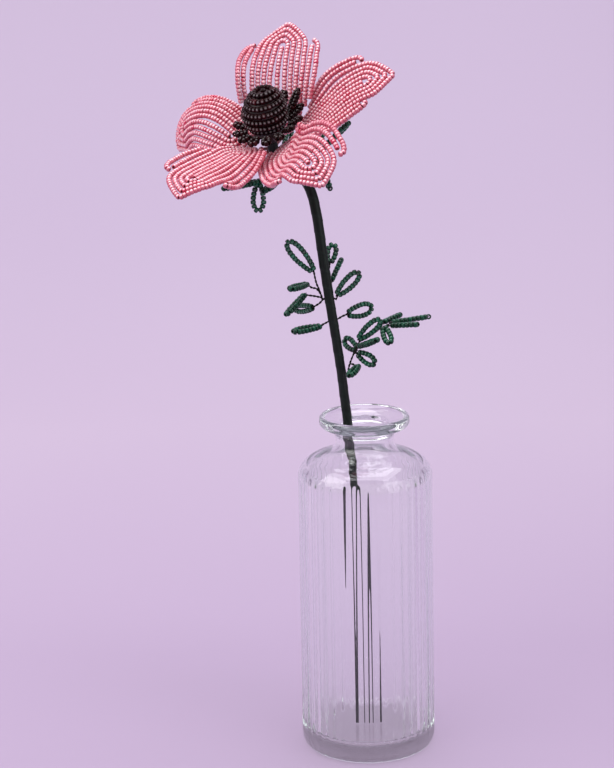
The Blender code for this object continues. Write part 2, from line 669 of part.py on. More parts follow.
def shoulder_row(row, side, slits, top, start, count):
    """A shoulder row from where it starts beside the base to its rounded top."""
    end, base = top - (OUTER_ROW - row) * SHOULDER_STEP, -BASE_STEP * row
    t = np.linspace(0, 1, count)
    v = start + (end - start) * np.sin(math.pi / 2 * t) ** POINT_SPREAD
    wide = row_side(row, side, v, slits)
    u = wide * np.where(v < 0, np.sqrt(np.clip(1 - (v / base) ** 2, 0, 1)), 1.0)
    inner = row_side(FULL_ROWS, side, v, slits) + SHOULDER_INSIDE
    tip = MIDDLE_ROW + TIP_STEP * FULL_ROWS
    inner = np.minimum(inner, SHOULDER_NARROW * (tip - v) + SHOULDER_EDGE)
    rounding = SHOULDER_ROUND * (1.0 - SHOULDER_LOSS * np.clip(OUTER_ROW - row, 0, 1))
    w = np.clip((v - (end - rounding)) / rounding, 0, 1)
    u = np.where(w > 0, inner + (u - inner) * np.sqrt(np.clip(1 - w * w, 0, 1)), u)
    return np.stack([side * u, v], axis=1)


class FlatSheet:
    """Points and triangles of a petal on the flat, with the half thickness at each point."""

    def __init__(self):
        self.points = []
        self.halves = []
        self.faces = []

    def add(self, point, half):
        self.points.append((float(point[0]), float(point[1])))
        self.halves.append(half)
        return len(self.points) - 1

    def strip(self, low, high, low_at, high_at, side):
        """Triangles between two chains of points, each with its place along the strip."""
        i = j = 0
        while i < len(low) - 1 or j < len(high) - 1:
            more_low = i < len(low) - 1
            more_high = j < len(high) - 1
            if more_low and (not more_high or low_at[i + 1] <= high_at[j + 1]):
                face = (low[i], low[i + 1], high[j])
                i += 1
            else:
                face = (low[i], high[j + 1], high[j])
                j += 1
            if len(set(face)) == 3:
                self.faces.append(face if side < 0 else face[::-1])


def half_thickness(level):
    if level > OUTER_ROW:
        return EDGE_HALF
    return ROW_HALF if level == round(level) else VALLEY_HALF


def slit_span(slits, side, level):
    """The stretch of v in which the valley at this level is open, or None."""
    for gap, middle, half, extra in slits:
        if gap * side > 0 and abs(gap) == round(level + 0.5) and extra >= SLIT_LEAST:
            reach = half * math.sqrt(1 - math.sqrt(SLIT_REST / extra))
            return middle - reach, middle + reach
    return None


def flat_petal(petal):
    sheet = FlatSheet()
    slits = petal["slits"]
    shares = np.linspace(0, 1, ROW_POINTS)
    middle = [sheet.add(p, ROW_HALF) for p in full_row(0, 1, slits, shares)]
    ends = {}
    for side in (-1, 1):
        inner, inner_at = middle, shares
        top = petal["tops"][0 if side < 0 else 1]
        starts = petal["starts"][0 if side < 0 else 1]
        for step in range(1, 2 * FULL_ROWS + 2):
            level = step / 2
            at = shares
            flat = full_row(level, side, slits, shares)
            if step == 2 * FULL_ROWS + 1:
                extra_v = [starts[0] - JOIN_START]
                extra_v += [top - JOIN_BELOW + JOIN_STEP * n for n in range(5)]
                many = np.linspace(0, 1, JOIN_SAMPLES)
                dense = full_row(level, side, slits, many)
                extra = [np.interp(v, dense[:, 1], many) for v in extra_v]
                kept = [s for s in shares if min(abs(s - e) for e in extra) > JOIN_CLEAR]
                at = np.array(sorted(kept + extra))
                flat = full_row(level, side, slits, at)
            half = half_thickness(level)
            inside = step % 2 and step < 2 * FULL_ROWS + 1
            span = slit_span(slits, side, level) if inside else None
            chain, outer_chain = [], []
            for n, point in enumerate(flat):
                if n in (0, len(flat) - 1):
                    key = (level, n == 0)
                    if key not in ends:
                        ends[key] = sheet.add(point, half)
                    chain.append(ends[key])
                    outer_chain.append(ends[key])
                elif span and span[0] < point[1] < span[1]:
                    near = full_row(level - SLIT_EDGE, side, slits, at)[n]
                    far = full_row(level + SLIT_EDGE, side, slits, at)[n]
                    chain.append(sheet.add(near, half))
                    outer_chain.append(sheet.add(far, half))
                else:
                    index = sheet.add(point, half)
                    chain.append(index)
                    outer_chain.append(index)
            sheet.strip(inner, chain, inner_at, at, side)
            inner, inner_at = outer_chain, at
        edge_v = flat[:, 1]
        first = int(np.argmin(abs(edge_v - extra_v[0])))
        meet = [int(np.argmin(abs(edge_v - v))) for v in extra_v[1:]]
        low = inner[first : meet[0] + 1]
        low_at = edge_v[first : meet[0] + 1]
        for n, level in enumerate(np.arange(FULL_ROWS + 1, OUTER_ROW + 1, 0.5)):
            low = list(low) + inner[meet[n] + 1 : meet[n + 1] + 1]
            low_at = np.append(low_at, edge_v[meet[n] + 1 : meet[n + 1] + 1])
            begin = starts[0] if level < OUTER_ROW else starts[1]
            line = shoulder_row(level, side, slits, top, begin, SHOULDER_POINTS)
            chain = [sheet.add(p, half_thickness(level)) for p in line[:-1]] + [low[-1]]
            places = np.append(line[:-1, 1], low_at[-1])
            low_share = (np.asarray(low_at) - low_at[0]) / (low_at[-1] - low_at[0])
            high_share = (places - places[0]) / (places[-1] - places[0])
            sheet.strip(low, chain, low_share, high_share, side)
            low, low_at = chain, places
    return sheet


def make_petal(number, petal, axes, mat, home, work):
    curved = PetalSheet(axes, petal)
    flat = flat_petal(petal)
    count = len(flat.points)
    points = []
    for sign in (1, -1):
        for (u, v), half in zip(flat.points, flat.halves):
            points.append(curved.point(u, v, sign * half))
    faces, edges = [], {}
    for face in flat.faces:
        faces.append(face)
        faces.append(tuple(count + i for i in face[::-1]))
        for i in range(3):
            a, b = face[i], face[(i + 1) % 3]
            if (b, a) in edges:
                del edges[(b, a)]
            else:
                edges[(a, b)] = True
    for a, b in edges:
        faces.append((b, a, count + a, count + b))
    base = -BASE_STEP * (FULL_ROWS + 0.5)
    sunk = curved.point(0.0, base + TAIL_SUNK, 0.0)
    end = curved.point(0.0, base - TAIL_OUT, 0.0)
    hub_radius = HUB_RADIUS + TOUCH_GAP + TAIL_ASIDE
    hub_high = in_flower(axes, hub_radius, petal["angle"], HUB_HEIGHTS[1])
    hub_low = in_flower(axes, hub_radius, petal["angle"], HUB_HEIGHTS[2])
    tail = tube_mesh([sunk, end, hub_high, hub_low], TAIL_RADIUS, TAIL_SIDES)
    return joined(f"petal_{number}", [(points, faces), tail], mat, home, work)


def main():
    clear_scene()
    home = bpy.data.collections.new("anemone_flower_in_bottle")
    work = bpy.data.collections.new("working_pieces")
    bpy.context.scene.collection.children.link(home)
    bpy.context.scene.collection.children.link(work)
    glass = material("bottle_glass", (0.86, 0.93, 0.90), 0.03, 1.0)
    pink = material("pink_beads", (0.80, 0.27, 0.40), 0.18)
    dark = material("burgundy_beads", (0.035, 0.005, 0.010), 0.15)
    green = material("green_beads", (0.0, 0.12, 0.06), 0.15)
    tape = material("stem_tape", (0.006, 0.016, 0.010), 0.5)
    axes = flower_axes()
    make_bottle(glass, home)
    make_stem(axes, tape, home)
    make_dome(axes, dark, home)
    make_stamens(axes, dark, home, work)
    for number, petal in enumerate(PETALS, start=1):
        make_petal(number, petal, axes, pink, home, work)
    for number, (loops, wires) in enumerate(zip(BRACTS, BRACT_WIRES), start=1):
        make_spray(f"bract_{number}", loops, wires, green, home, work)
    make_spray("leaf_spray_upper", UPPER_LOOPS, UPPER_WIRES, green, home, work)
    make_spray("leaf_spray_middle", MIDDLE_LOOPS, MIDDLE_WIRES, green, home, work)
    make_spray("leaf_spray_lower", LOWER_LOOPS, LOWER_WIRES, green, home, work)
    bpy.data.collections.remove(work)


main()
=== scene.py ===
"""Looks of the beaded anemone in its fluted glass bottle: real beads on wires, taped stem, glass.

Places and lengths are in millimetres, and add_mesh and add_placed turn them into metres. Sizes in
materials, the sizes of lights and CAMERA_NEAR are in metres.
"""

import math

import bpy
import numpy as np
from mathutils import Matrix


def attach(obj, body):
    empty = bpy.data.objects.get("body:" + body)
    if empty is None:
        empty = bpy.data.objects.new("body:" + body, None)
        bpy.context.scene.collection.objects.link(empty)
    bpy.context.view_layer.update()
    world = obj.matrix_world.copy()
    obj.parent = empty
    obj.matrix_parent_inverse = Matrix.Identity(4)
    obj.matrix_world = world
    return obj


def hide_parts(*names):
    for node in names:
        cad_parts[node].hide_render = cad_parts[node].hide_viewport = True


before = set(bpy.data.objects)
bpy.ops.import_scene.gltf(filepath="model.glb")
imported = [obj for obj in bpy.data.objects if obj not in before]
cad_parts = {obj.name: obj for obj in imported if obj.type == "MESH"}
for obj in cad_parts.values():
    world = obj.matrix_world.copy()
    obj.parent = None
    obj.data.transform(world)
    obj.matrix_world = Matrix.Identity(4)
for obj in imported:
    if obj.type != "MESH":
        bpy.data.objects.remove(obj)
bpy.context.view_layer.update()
MM = 0.001
rng = np.random.default_rng(11)


# Node helpers


def set_inputs(node, values):
    for socket, value in values.items():
        node.inputs[socket].default_value = value


def add_node(tree, kind, values):
    node = tree.nodes.new(kind)
    set_inputs(node, values)
    return node


def new_material(name, values):
    """A material, its nodes and its shader, which gets these constant values."""
    mat = bpy.data.materials.new(name)
    mat.use_nodes = True
    shader = mat.node_tree.nodes["Principled BSDF"]
    set_inputs(shader, values)
    return mat, mat.node_tree, shader


def grey(value):
    return (value, value, value)


def ramp(tree, source, stops):
    node = tree.nodes.new("ShaderNodeValToRGB")
    elements = node.color_ramp.elements
    while len(elements) > 1:
        elements.remove(elements[-1])
    elements[0].position = stops[0][0]
    elements[0].color = (*stops[0][1], 1.0)
    for place, colour in stops[1:]:
        element = elements.new(place)
        element.color = (*colour, 1.0)
    tree.links.new(source, node.inputs["Fac"])
    return node.outputs["Color"]


def attribute(tree, name):
    node = tree.nodes.new("ShaderNodeAttribute")
    node.attribute_name = name
    return node.outputs["Fac"]


def object_place(tree):
    return tree.nodes.new("ShaderNodeTexCoord").outputs["Object"]


def noise(tree, place, values):
    node = add_node(tree, "ShaderNodeTexNoise", values)
    tree.links.new(place, node.inputs["Vector"])
    return node.outputs["Fac"]


def mixed(tree, share, first, second, mode="MIX"):
    """Two colours mixed. The share and the colours are values or outputs of nodes."""
    node = tree.nodes.new("ShaderNodeMix")
    node.data_type = "RGBA"
    node.blend_type = mode
    share_in, first_in, second_in = (node.inputs[i] for i in (0, 6, 7))
    for socket, value in ((share_in, share), (first_in, first), (second_in, second)):
        if isinstance(value, (int, float)):
            socket.default_value = value
        elif isinstance(value, tuple):
            socket.default_value = (*value, 1.0)
        else:
            tree.links.new(value, socket)
    return node.outputs[2]


# Materials

# Painted light on the beads: how much of a bead's own tone shows over its painted side shading, read off
# the mask, and between which values of the mask a near-white painted highlight comes in.
PAINTED_LIGHT_SHARES = ((0.0, grey(0.0)), (0.5, grey(0.25)), (0.85, grey(1.0)))
PAINTED_HIGHLIGHT_FROM, PAINTED_HIGHLIGHT_FULL = 0.80, 0.97
PAINTED_HIGHLIGHT_COLOUR = (1.0, 0.93, 0.94)
COAT_ROUGHNESS = 0.03
GLASS_TINT, GLASS_DENSITY = (0.62, 0.92, 0.76, 1.0), 4.5
TAPE_TONES = ((0.0, (0.003, 0.009, 0.005)), (0.8, (0.002, 0.006, 0.004)), (1.0, (0.007, 0.018, 0.012)))
CREPE_GRAIN = ((0.3, grey(0.6)), (0.7, grey(1.5)))
CREPE_BUMP = {"Strength": 0.35, "Distance": 0.0002}
WIRE_DARK, WIRE_LIGHT = 0.6, 1.5


def bead_material(name, tones, painted_side_shading, roughness, specular, painted_highlight, coat=0.0, subsurface=0.0):
    """Glass bead with painted light: a bright painted highlight on its top, and painted shading, mostly
    darker, beside its neighbours and near the hole.
    """
    mat, tree, shader = new_material(name, {
        "Roughness": roughness,
        "Specular IOR Level": specular,
        "Coat Weight": coat,
        "Coat Roughness": COAT_ROUGHNESS,
        "Subsurface Weight": subsurface,
        "Subsurface Radius": (1.0, 0.45, 0.55),
        "Subsurface Scale": 0.001,
    })
    tone = ramp(tree, attribute(tree, "tone"), tones)
    # Painted side shading: the tone multiplied by a colour, mostly painted shade beside the neighbours and
    # towards the hole.
    sides = mixed(tree, 1.0, tone, painted_side_shading, "MULTIPLY")
    crown = attribute(tree, "crown")
    body = mixed(tree, ramp(tree, crown, PAINTED_LIGHT_SHARES), sides, tone)
    # Painted highlight: near-white laid over the top of the mask.
    highlight_share = ramp(tree, crown, ((PAINTED_HIGHLIGHT_FROM, grey(0.0)), (PAINTED_HIGHLIGHT_FULL, grey(painted_highlight))))
    tree.links.new(mixed(tree, highlight_share, body, PAINTED_HIGHLIGHT_COLOUR), shader.inputs["Base Color"])
    return mat


def glass_material():
    mat, tree, _ = new_material("bottle_glass_look", {
        "Base Color": (0.985, 1.0, 0.992, 1.0),
        "Roughness": 0.0,
        "IOR": 1.51,
        "Transmission Weight": 1.0,
    })
    absorb = add_node(tree, "ShaderNodeVolumeAbsorption", {"Color": GLASS_TINT, "Density": GLASS_DENSITY})
    tree.links.new(absorb.outputs["Volume"], tree.nodes["Material Output"].inputs["Volume"])
    return mat


def tape_material():
    """Floral tape: tones by the place across a lap, with the fine creases of crepe paper."""
    mat, tree, shader = new_material("stem_tape_look", {"Roughness": 0.5, "Specular IOR Level": 0.3})
    stretched = {"Rotation": (0.0, 0.6, 0.0), "Scale": (900.0, 900.0, 260.0)}
    mapping = add_node(tree, "ShaderNodeMapping", stretched)
    tree.links.new(object_place(tree), mapping.inputs["Vector"])
    crepe = noise(tree, mapping.outputs["Vector"], {"Scale": 1.0, "Detail": 3.0})
    # The colour is lighter at the raised edge of each lap and darker just before it, and it follows the
    # relief's noise: darker where the creases lie low, lighter on their ridges.
    base = ramp(tree, attribute(tree, "lap"), TAPE_TONES)
    grain = ramp(tree, crepe, CREPE_GRAIN)
    tree.links.new(mixed(tree, 1.0, base, grain, "MULTIPLY"), shader.inputs["Base Color"])
    relief = add_node(tree, "ShaderNodeBump", CREPE_BUMP)
    tree.links.new(crepe, relief.inputs["Height"])
    tree.links.new(relief.outputs["Normal"], shader.inputs["Normal"])
    return mat


def wire_material(name, colour, roughness, metallic):
    mat, tree, shader = new_material(name, {"Roughness": roughness, "Metallic": metallic})
    low = tuple(c * WIRE_DARK for c in colour)
    high = tuple(min(c * WIRE_LIGHT, 1.0) for c in colour)
    spots = noise(tree, object_place(tree), {"Scale": 900.0})
    tree.links.new(ramp(tree, spots, ((0.3, low), (0.7, high))), shader.inputs["Base Color"])
    return mat


PINK = bead_material(
    "pink_bead_look",
    (
        (0.0, (0.74, 0.15, 0.24)),
        (0.3, (0.82, 0.23, 0.32)),
        (0.7, (0.88, 0.34, 0.43)),
        (0.94, (0.94, 0.48, 0.56)),
        (0.97, (0.76, 0.04, 0.14)),
    ),
    # Painted shade at the beads' sides, and further down the strength of their painted highlight.
    painted_side_shading=(0.74, 0.36, 0.42),
    roughness=0.06,
    specular=0.9,
    painted_highlight=0.85,
    coat=0.4,
    subsurface=0.1,
)
DARK = bead_material(
    "burgundy_bead_look",
    ((0.0, (0.007, 0.001, 0.001)), (0.7, (0.014, 0.002, 0.003)), (1.0, (0.05, 0.004, 0.008))),
    # Painted reddish light at the beads' sides, above 1 in red, and further down the strength of their
    # painted highlight.
    painted_side_shading=(1.3, 0.9, 0.9),
    roughness=0.05,
    specular=0.15,
    painted_highlight=0.22,
)
GREEN = bead_material(
    "green_bead_look",
    ((0.0, (0.0, 0.045, 0.020)), (0.5, (0.0, 0.085, 0.038)), (1.0, (0.0, 0.16, 0.075))),
    # Painted shade at the beads' sides, and further down the strength of their painted highlight.
    painted_side_shading=(0.4, 0.4, 0.4),
    roughness=0.06,
    specular=0.4,
    painted_highlight=0.10,
)
GLASS = glass_material()
TAPE = tape_material()
LEAF_WIRE = wire_material("leaf_wire_look", (0.012, 0.014, 0.010), 0.45, 0.6)
BEAD_WIRE = wire_material("bead_wire_look", (0.30, 0.10, 0.10), 0.35, 0.9)
# Near-black burgundy, the colour of the stamens' wires; on the centre's basket it is painted shade.
CORE = wire_material("centre_basket_look", (0.020, 0.002, 0.004), 0.5, 0.0)


# Mesh helpers

NO_FACES = np.zeros((0, 3), np.int32)
OFF_LINE = (0.31, 0.93, 0.2)
TUBE_END = 0.3


def unit(vector):
    vector = np.asarray(vector, float)
    return vector / np.linalg.norm(vector, axis=-1, keepdims=True)


def eased(x):
    x = np.clip(x, 0, 1)
    return x * x * (3 - 2 * x)


def hermite(t, start, start_slope, end, end_slope):
    return (
        (2 * t**3 - 3 * t**2 + 1) * start
        + (t**3 - 2 * t**2 + t) * start_slope
        + (3 * t**2 - 2 * t**3) * end
        + (t**3 - t**2) * end_slope
    )


def circle(sides):
    return 2 * np.pi * np.arange(sides) / sides


def lengths_along(line):
    return np.concatenate([[0], np.cumsum(np.linalg.norm(np.diff(line, axis=0), axis=1))])


def read_at(at, places, vectors):
    """Vectors that are given at places in rising order, read between them."""
    return np.stack([np.interp(at, places, vectors[:, j]) for j in range(3)], -1)


def smooth_line(points, steps):
    """A curve through the given points, with this many steps in each stretch."""
    points = np.asarray(points, float)
    slopes = np.gradient(points, axis=0)
    t = (np.arange(steps) / steps)[:, None]
    parts = [
        hermite(t, points[i], slopes[i], points[i + 1], slopes[i + 1]) for i in range(len(points) - 1)
    ]
    return np.vstack(parts + [points[-1:]])


def grid_quads(rows, columns, wrap_rows=False, wrap_columns=True, turned=False):
    """Faces of a grid of points stored row by row. Turned ones face the other way."""
    i = np.arange(rows if wrap_rows else rows - 1)[:, None]
    j = np.arange(columns if wrap_columns else columns - 1)[None]
    low, high, k = i * columns, (i + 1) % rows * columns, (j + 1) % columns
    corners = [low + j, low + k, high + k, high + j]
    if turned:
        corners[1], corners[3] = corners[3], corners[1]
    return np.stack(np.broadcast_arrays(*corners), -1).reshape(-1, 4)


def end_fans(rings, sides):
    """Faces that close the ends of a stack of rings with the two points stored after it."""
    ring = np.arange(sides)
    following = (ring + 1) % sides
    low_point, last = rings * sides, (rings - 1) * sides
    return np.vstack([
        np.stack([np.full(sides, low_point), following, ring], 1),
        np.stack([np.full(sides, low_point + 1), last + ring, last + following], 1),
    ])


def add_mesh(name, points, quads, tris, mat, attributes=None):
    """A smooth mesh object from points in mm and numpy arrays of faces."""
    mesh = bpy.data.meshes.new(name)
    points = np.asarray(points, np.float32) * MM
    loops = np.concatenate([np.asarray(faces, np.int32).reshape(-1) for faces in (quads, tris)])
    sizes = np.concatenate([np.full(len(quads), 4, np.int32), np.full(len(tris), 3, np.int32)])
    mesh.vertices.add(len(points))
    mesh.vertices.foreach_set("co", points.reshape(-1))
    mesh.loops.add(len(loops))
    mesh.loops.foreach_set("vertex_index", loops)
    mesh.polygons.add(len(sizes))
    mesh.polygons.foreach_set("loop_start", np.concatenate([[0], np.cumsum(sizes)[:-1]]).astype(np.int32))
    mesh.polygons.foreach_set("use_smooth", np.full(len(sizes), True))
    for key, values in (attributes or {}).items():
        layer = mesh.attributes.new(key, "FLOAT", "POINT")
        layer.data.foreach_set("value", np.asarray(values, np.float32))
    mesh.materials.append(mat)
    mesh.update(calc_edges=True)
    mesh.validate()
    obj = bpy.data.objects.new(name, mesh)
    bpy.context.scene.collection.objects.link(obj)
    return obj


class Build:
    """Collects meshes that become one object."""

    def __init__(self):
        self.points, self.quads, self.tris, self.extra = [], [], [], {}
        self.count = 0

    def add(self, points, quads, tris=NO_FACES, **attributes):
        points = np.asarray(points, float)
        self.points.append(points)
        self.quads.append(np.asarray(quads, np.int64).reshape(-1, 4) + self.count)
        self.tris.append(np.asarray(tris, np.int64).reshape(-1, 3) + self.count)
        for key, values in attributes.items():
            self.extra.setdefault(key, []).append(np.broadcast_to(values, (len(points),)))
        self.count += len(points)

    def done(self, name, mat):
        extra = {key: np.concatenate(parts) for key, parts in self.extra.items()}
        points, quads, tris = (np.concatenate(part) for part in (self.points, self.quads, self.tris))
        return add_mesh(name, points, quads, tris, mat, extra)


def frames_along(line, closed=False):
    """Unit tangents and two steady crosswise directions along a line of points."""
    line = np.asarray(line, float)
    if closed:
        tangent = unit(np.roll(line, -1, 0) - np.roll(line, 1, 0))
        across = unit(np.linalg.svd(line - line.mean(0))[2][2])
    else:
        tangent = unit(np.gradient(line, axis=0))
        across = unit(np.cross(tangent[0], OFF_LINE))
    firsts = np.empty_like(line)
    for i, t in enumerate(tangent):
        across = unit(across - t * np.dot(across, t))
        firsts[i] = across
    return tangent, firsts, np.cross(tangent, firsts)


def wound(line, phase, radius):
    """A line wound round another one."""
    _, first, second = frames_along(line)
    return line + radius * (np.cos(phase)[:, None] * first + np.sin(phase)[:, None] * second)


def add_tube(build, line, radii, sides, closed=False, **attributes):
    """A tube along a line of points, with one radius or one for each point and side."""
    tangent, first, second = frames_along(line, closed)
    count = len(line)
    turn = circle(sides)
    radii = np.broadcast_to(radii, (count, sides))
    points = line[:, None] + radii[..., None] * (
        np.cos(turn)[None, :, None] * first[:, None] + np.sin(turn)[None, :, None] * second[:, None]
    )
    points = points.reshape(-1, 3)
    tris = NO_FACES
    if not closed:
        reach = radii.mean() * TUBE_END
        points = np.vstack([points, line[0] - tangent[0] * reach, line[-1] + tangent[-1] * reach])
        tris = end_fans(count, sides)
    build.add(points, grid_quads(count, sides, wrap_rows=closed), tris, **attributes)


# Beads: how fine and how square they are, how unevenly they sit and vary, and the tone and the mask of
# painted light that their material reads: painted highlight on a bead's top, painted shade at its sides

BEAD_AROUND, BEAD_PROFILE = 13, 9
BEAD_SQUARENESS, BEAD_PROFILE_TURN = 2.08, 0.2
BEAD_SPACING, BEAD_SHIFT, BEAD_TILT = 0.02, 0.03, 0.035
BEAD_WIDTHS, BEAD_LENGTHS = 0.018, 0.04
BEAD_REACH = 0.4
TONE_MIDDLE, TONE_SPREAD, TONE_MOST = 0.5, 0.2, 0.94
ODD_SHARE, ODD_TONE = 0.03, 1.0
PAINTED_LIGHT_FACING, PAINTED_LIGHT_HOLE = 1.5, 1.2
THIN_WIRE, THIN_WIRE_SIDES = 0.2, 5
LOOP_FULLNESS, LOOP_OPEN = 1.15, 0.10


def bead_shape(length, radius, hole):
    """Rounded short cylinder with a hole, along +Z: points, faces and how near each is to the hole."""

    def squared(wave):
        return np.sign(wave) * abs(wave) ** (2 / BEAD_SQUARENESS)

    turn = circle(BEAD_PROFILE) + BEAD_PROFILE_TURN
    r = (radius + hole) / 2 + (radius - hole) / 2 * squared(np.cos(turn))
    z = length / 2 * squared(np.sin(turn))
    around = circle(BEAD_AROUND)[:, None]
    shape = np.broadcast_arrays(r * np.cos(around), r * np.sin(around), z)
    points = np.stack(shape, -1).reshape(-1, 3)
    quads = grid_quads(BEAD_AROUND, BEAD_PROFILE, wrap_rows=True, turned=True)
    near_hole = np.clip((radius - r) / (radius - hole), 0, 1)
    return points, quads, np.tile(near_hole, BEAD_AROUND)


def add_beads(build, line, normals, pitch, shape, closed=False, margin=(0.0, 0.0)):
    """Beads threaded along a line of points, touching each other and slightly uneven."""
    points, quads, near_hole = shape
    line = np.asarray(line, float)
    normals = np.asarray(normals, float)
    if closed:
        line = np.vstack([line, line[:1]])
        normals = np.vstack([normals, normals[:1]])
    way = lengths_along(line)
    start, end = margin[0], way[-1] - margin[1]
    count = max(1, int(round((end - start) / pitch)))
    step = (end - start) / count
    at = start + (np.arange(count) + 0.5) * step + rng.normal(0, BEAD_SPACING * pitch, count)
    centres = read_at(at, way, line)
    ahead = read_at(np.clip(at + BEAD_REACH, 0, way[-1]), way, line)
    behind = read_at(np.clip(at - BEAD_REACH, 0, way[-1]), way, line)
    z = unit(ahead - behind + rng.normal(0, BEAD_TILT, (count, 3)))
    n = read_at(at, way, normals)
    x = unit(np.cross(n, z))
    y = np.cross(z, x)
    spin = rng.uniform(0, 2 * np.pi, count)
    c, s = np.cos(spin)[:, None], np.sin(spin)[:, None]
    x, y = c * x + s * y, c * y - s * x
    wide = rng.normal(1.0, BEAD_WIDTHS, count)
    long = rng.normal(1.0, BEAD_LENGTHS, count)
    centres = centres + rng.normal(0, BEAD_SHIFT, (count, 3))
    outwards = points[None, :, 0:1] * x[:, None] + points[None, :, 1:2] * y[:, None]
    world = (
        centres[:, None]
        + outwards * wide[:, None, None]
        + points[None, :, 2:3] * z[:, None] * long[:, None, None]
    )
    tone = np.clip(rng.normal(TONE_MIDDLE, TONE_SPREAD, count), 0, TONE_MOST)
    tone[rng.uniform(0, 1, count) < ODD_SHARE] = ODD_TONE
    faces = (quads[None] + (np.arange(count) * len(points))[:, None, None]).reshape(-1, 4)
    # Mask of painted light: high where a bead faces out along the row's normal, for the painted highlight,
    # and low beside its neighbours and towards its hole, for painted shade.
    facing = abs(np.einsum("cpk,ck->cp", unit(outwards), unit(n)))
    crown = (facing**PAINTED_LIGHT_FACING * (1 - near_hole[None]) ** PAINTED_LIGHT_HOLE).reshape(-1)
    build.add(world.reshape(-1, 3), faces, tone=np.repeat(tone, len(points)), crown=crown)


def loop_line(foot, along, side, length, width, foot_share, count):
    """An open loop of beads, narrow at its foot and round at its tip, and the normal of its plane."""
    turn = np.linspace(LOOP_OPEN * np.pi, (2 - LOOP_OPEN) * np.pi, count)
    share = 0.5 - 0.5 * np.cos(turn)
    sideways = 0.5 * width * np.sin(turn) * LOOP_FULLNESS * (foot_share + (1 - foot_share) * share)
    line = foot + along * (length * share)[:, None] + side * sideways[:, None]
    return line, np.broadcast_to(np.cross(along, side), line.shape)


def dress(obj, slot, *nodes):
    """The piece rides on the one body and stands for these CAD nodes."""
    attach(obj, "root")
    if nodes:
        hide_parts(*nodes)


# Bloom: its centre, the axis it faces along (up, to the left and towards the viewer) and one across

CENTRE = np.array([-35.6, 0.0, 258.47])
OUT = unit(np.array([-0.1913, -0.3351, 0.9226]))
ACROSS = np.array([0.9752, 0.0418, 0.2174])
ACROSS = unit(ACROSS - OUT * np.dot(ACROSS, OUT))
BEHIND = np.cross(OUT, ACROSS)
HUB_HEIGHTS = (-3.0, -6.0, -9.5, -12.5)
HUB_RADIUS = 2.2


def in_flower(radius, angle, height):
    a = np.radians(angle)
    radius, a, height = np.broadcast_arrays(radius, a, height)
    return (
        CENTRE
        + (radius * np.cos(a))[..., None] * ACROSS
        + (radius * np.sin(a))[..., None] * BEHIND
        + height[..., None] * OUT
    )


# Petals: rows of beads nested round a middle row, laid out on the flat as u across and v along

MIDDLE_ROW = 27.0
TIP_STEP, BASE_STEP, SIDE_STEP = 2.95, 2.25, 2.32
FULL_ROWS = 4
STATIONS = np.array([-14.0, 0.0, 13.0, 26.0, 39.0])
BEYOND = 0.3
SHEET_FROM, SHEET_TO, SHEET_STEPS = -14.5, 41.5, 161
LEAST_BEND, LEAST_WIDTH = 1e-5, 1e-6
WIDTH_BASE, WIDTH_GAIN, WIDTH_FROM, WIDTH_REACH = 0.93, 0.13, -2.0, 22.0
ROW_POINTS, MIDDLE_POINTS, TOP_POINTS = 120, 60, 30

# A full row's tip: how its points crowd there, its slope and bluntness, how sharply it meets the side
# and within how many widths of the row
POINT_SPREAD = 0.9
TIP_SLOPE, TIP_BLUNT, TIP_BLEND, TIP_REACH = 1.1, 1.6, 6.0, 3.0

# The two shoulder rows of a side: how round their tops are, how far these turn, and the width added
SHOULDERS = {5: (3.5, 100.0, 0.0), 6: (5.0, 112.0, 0.5)}
SHOULDER_STEP, SHOULDER_INSIDE = 2.2, 2.3
SHOULDER_NARROW, SHOULDER_EDGE = 1.15, 3.0

PINK_SHAPE, PINK_PITCH = bead_shape(1.47, 1.09, 0.42), 1.46
MIDDLE_MARGIN, SHOULDER_MARGIN = (0.2, 0.3), (0.0, 0.25)
ROW_WIRE_EVERY = 3

# The tail: three wires twisted together, from under the petal's base to the hub
TAIL_ROWS, TAIL_FROM, TAIL_BEYOND, TAIL_POINTS = 4.5, 4.0, 1.0, 20
TAIL_SUNK_AT, TAIL_SUNK = 2.0, (0.0, 1.0, 0.2)
TAIL_OUT, TAIL_DOWN = 1.1, 0.4
TAIL_WIRES, TAIL_STEPS, TAIL_TWIST, TAIL_TURN = 3, 3, 0.38, 0.55
TAIL_WIRE, TAIL_WIRE_SIDES = 0.3, 6

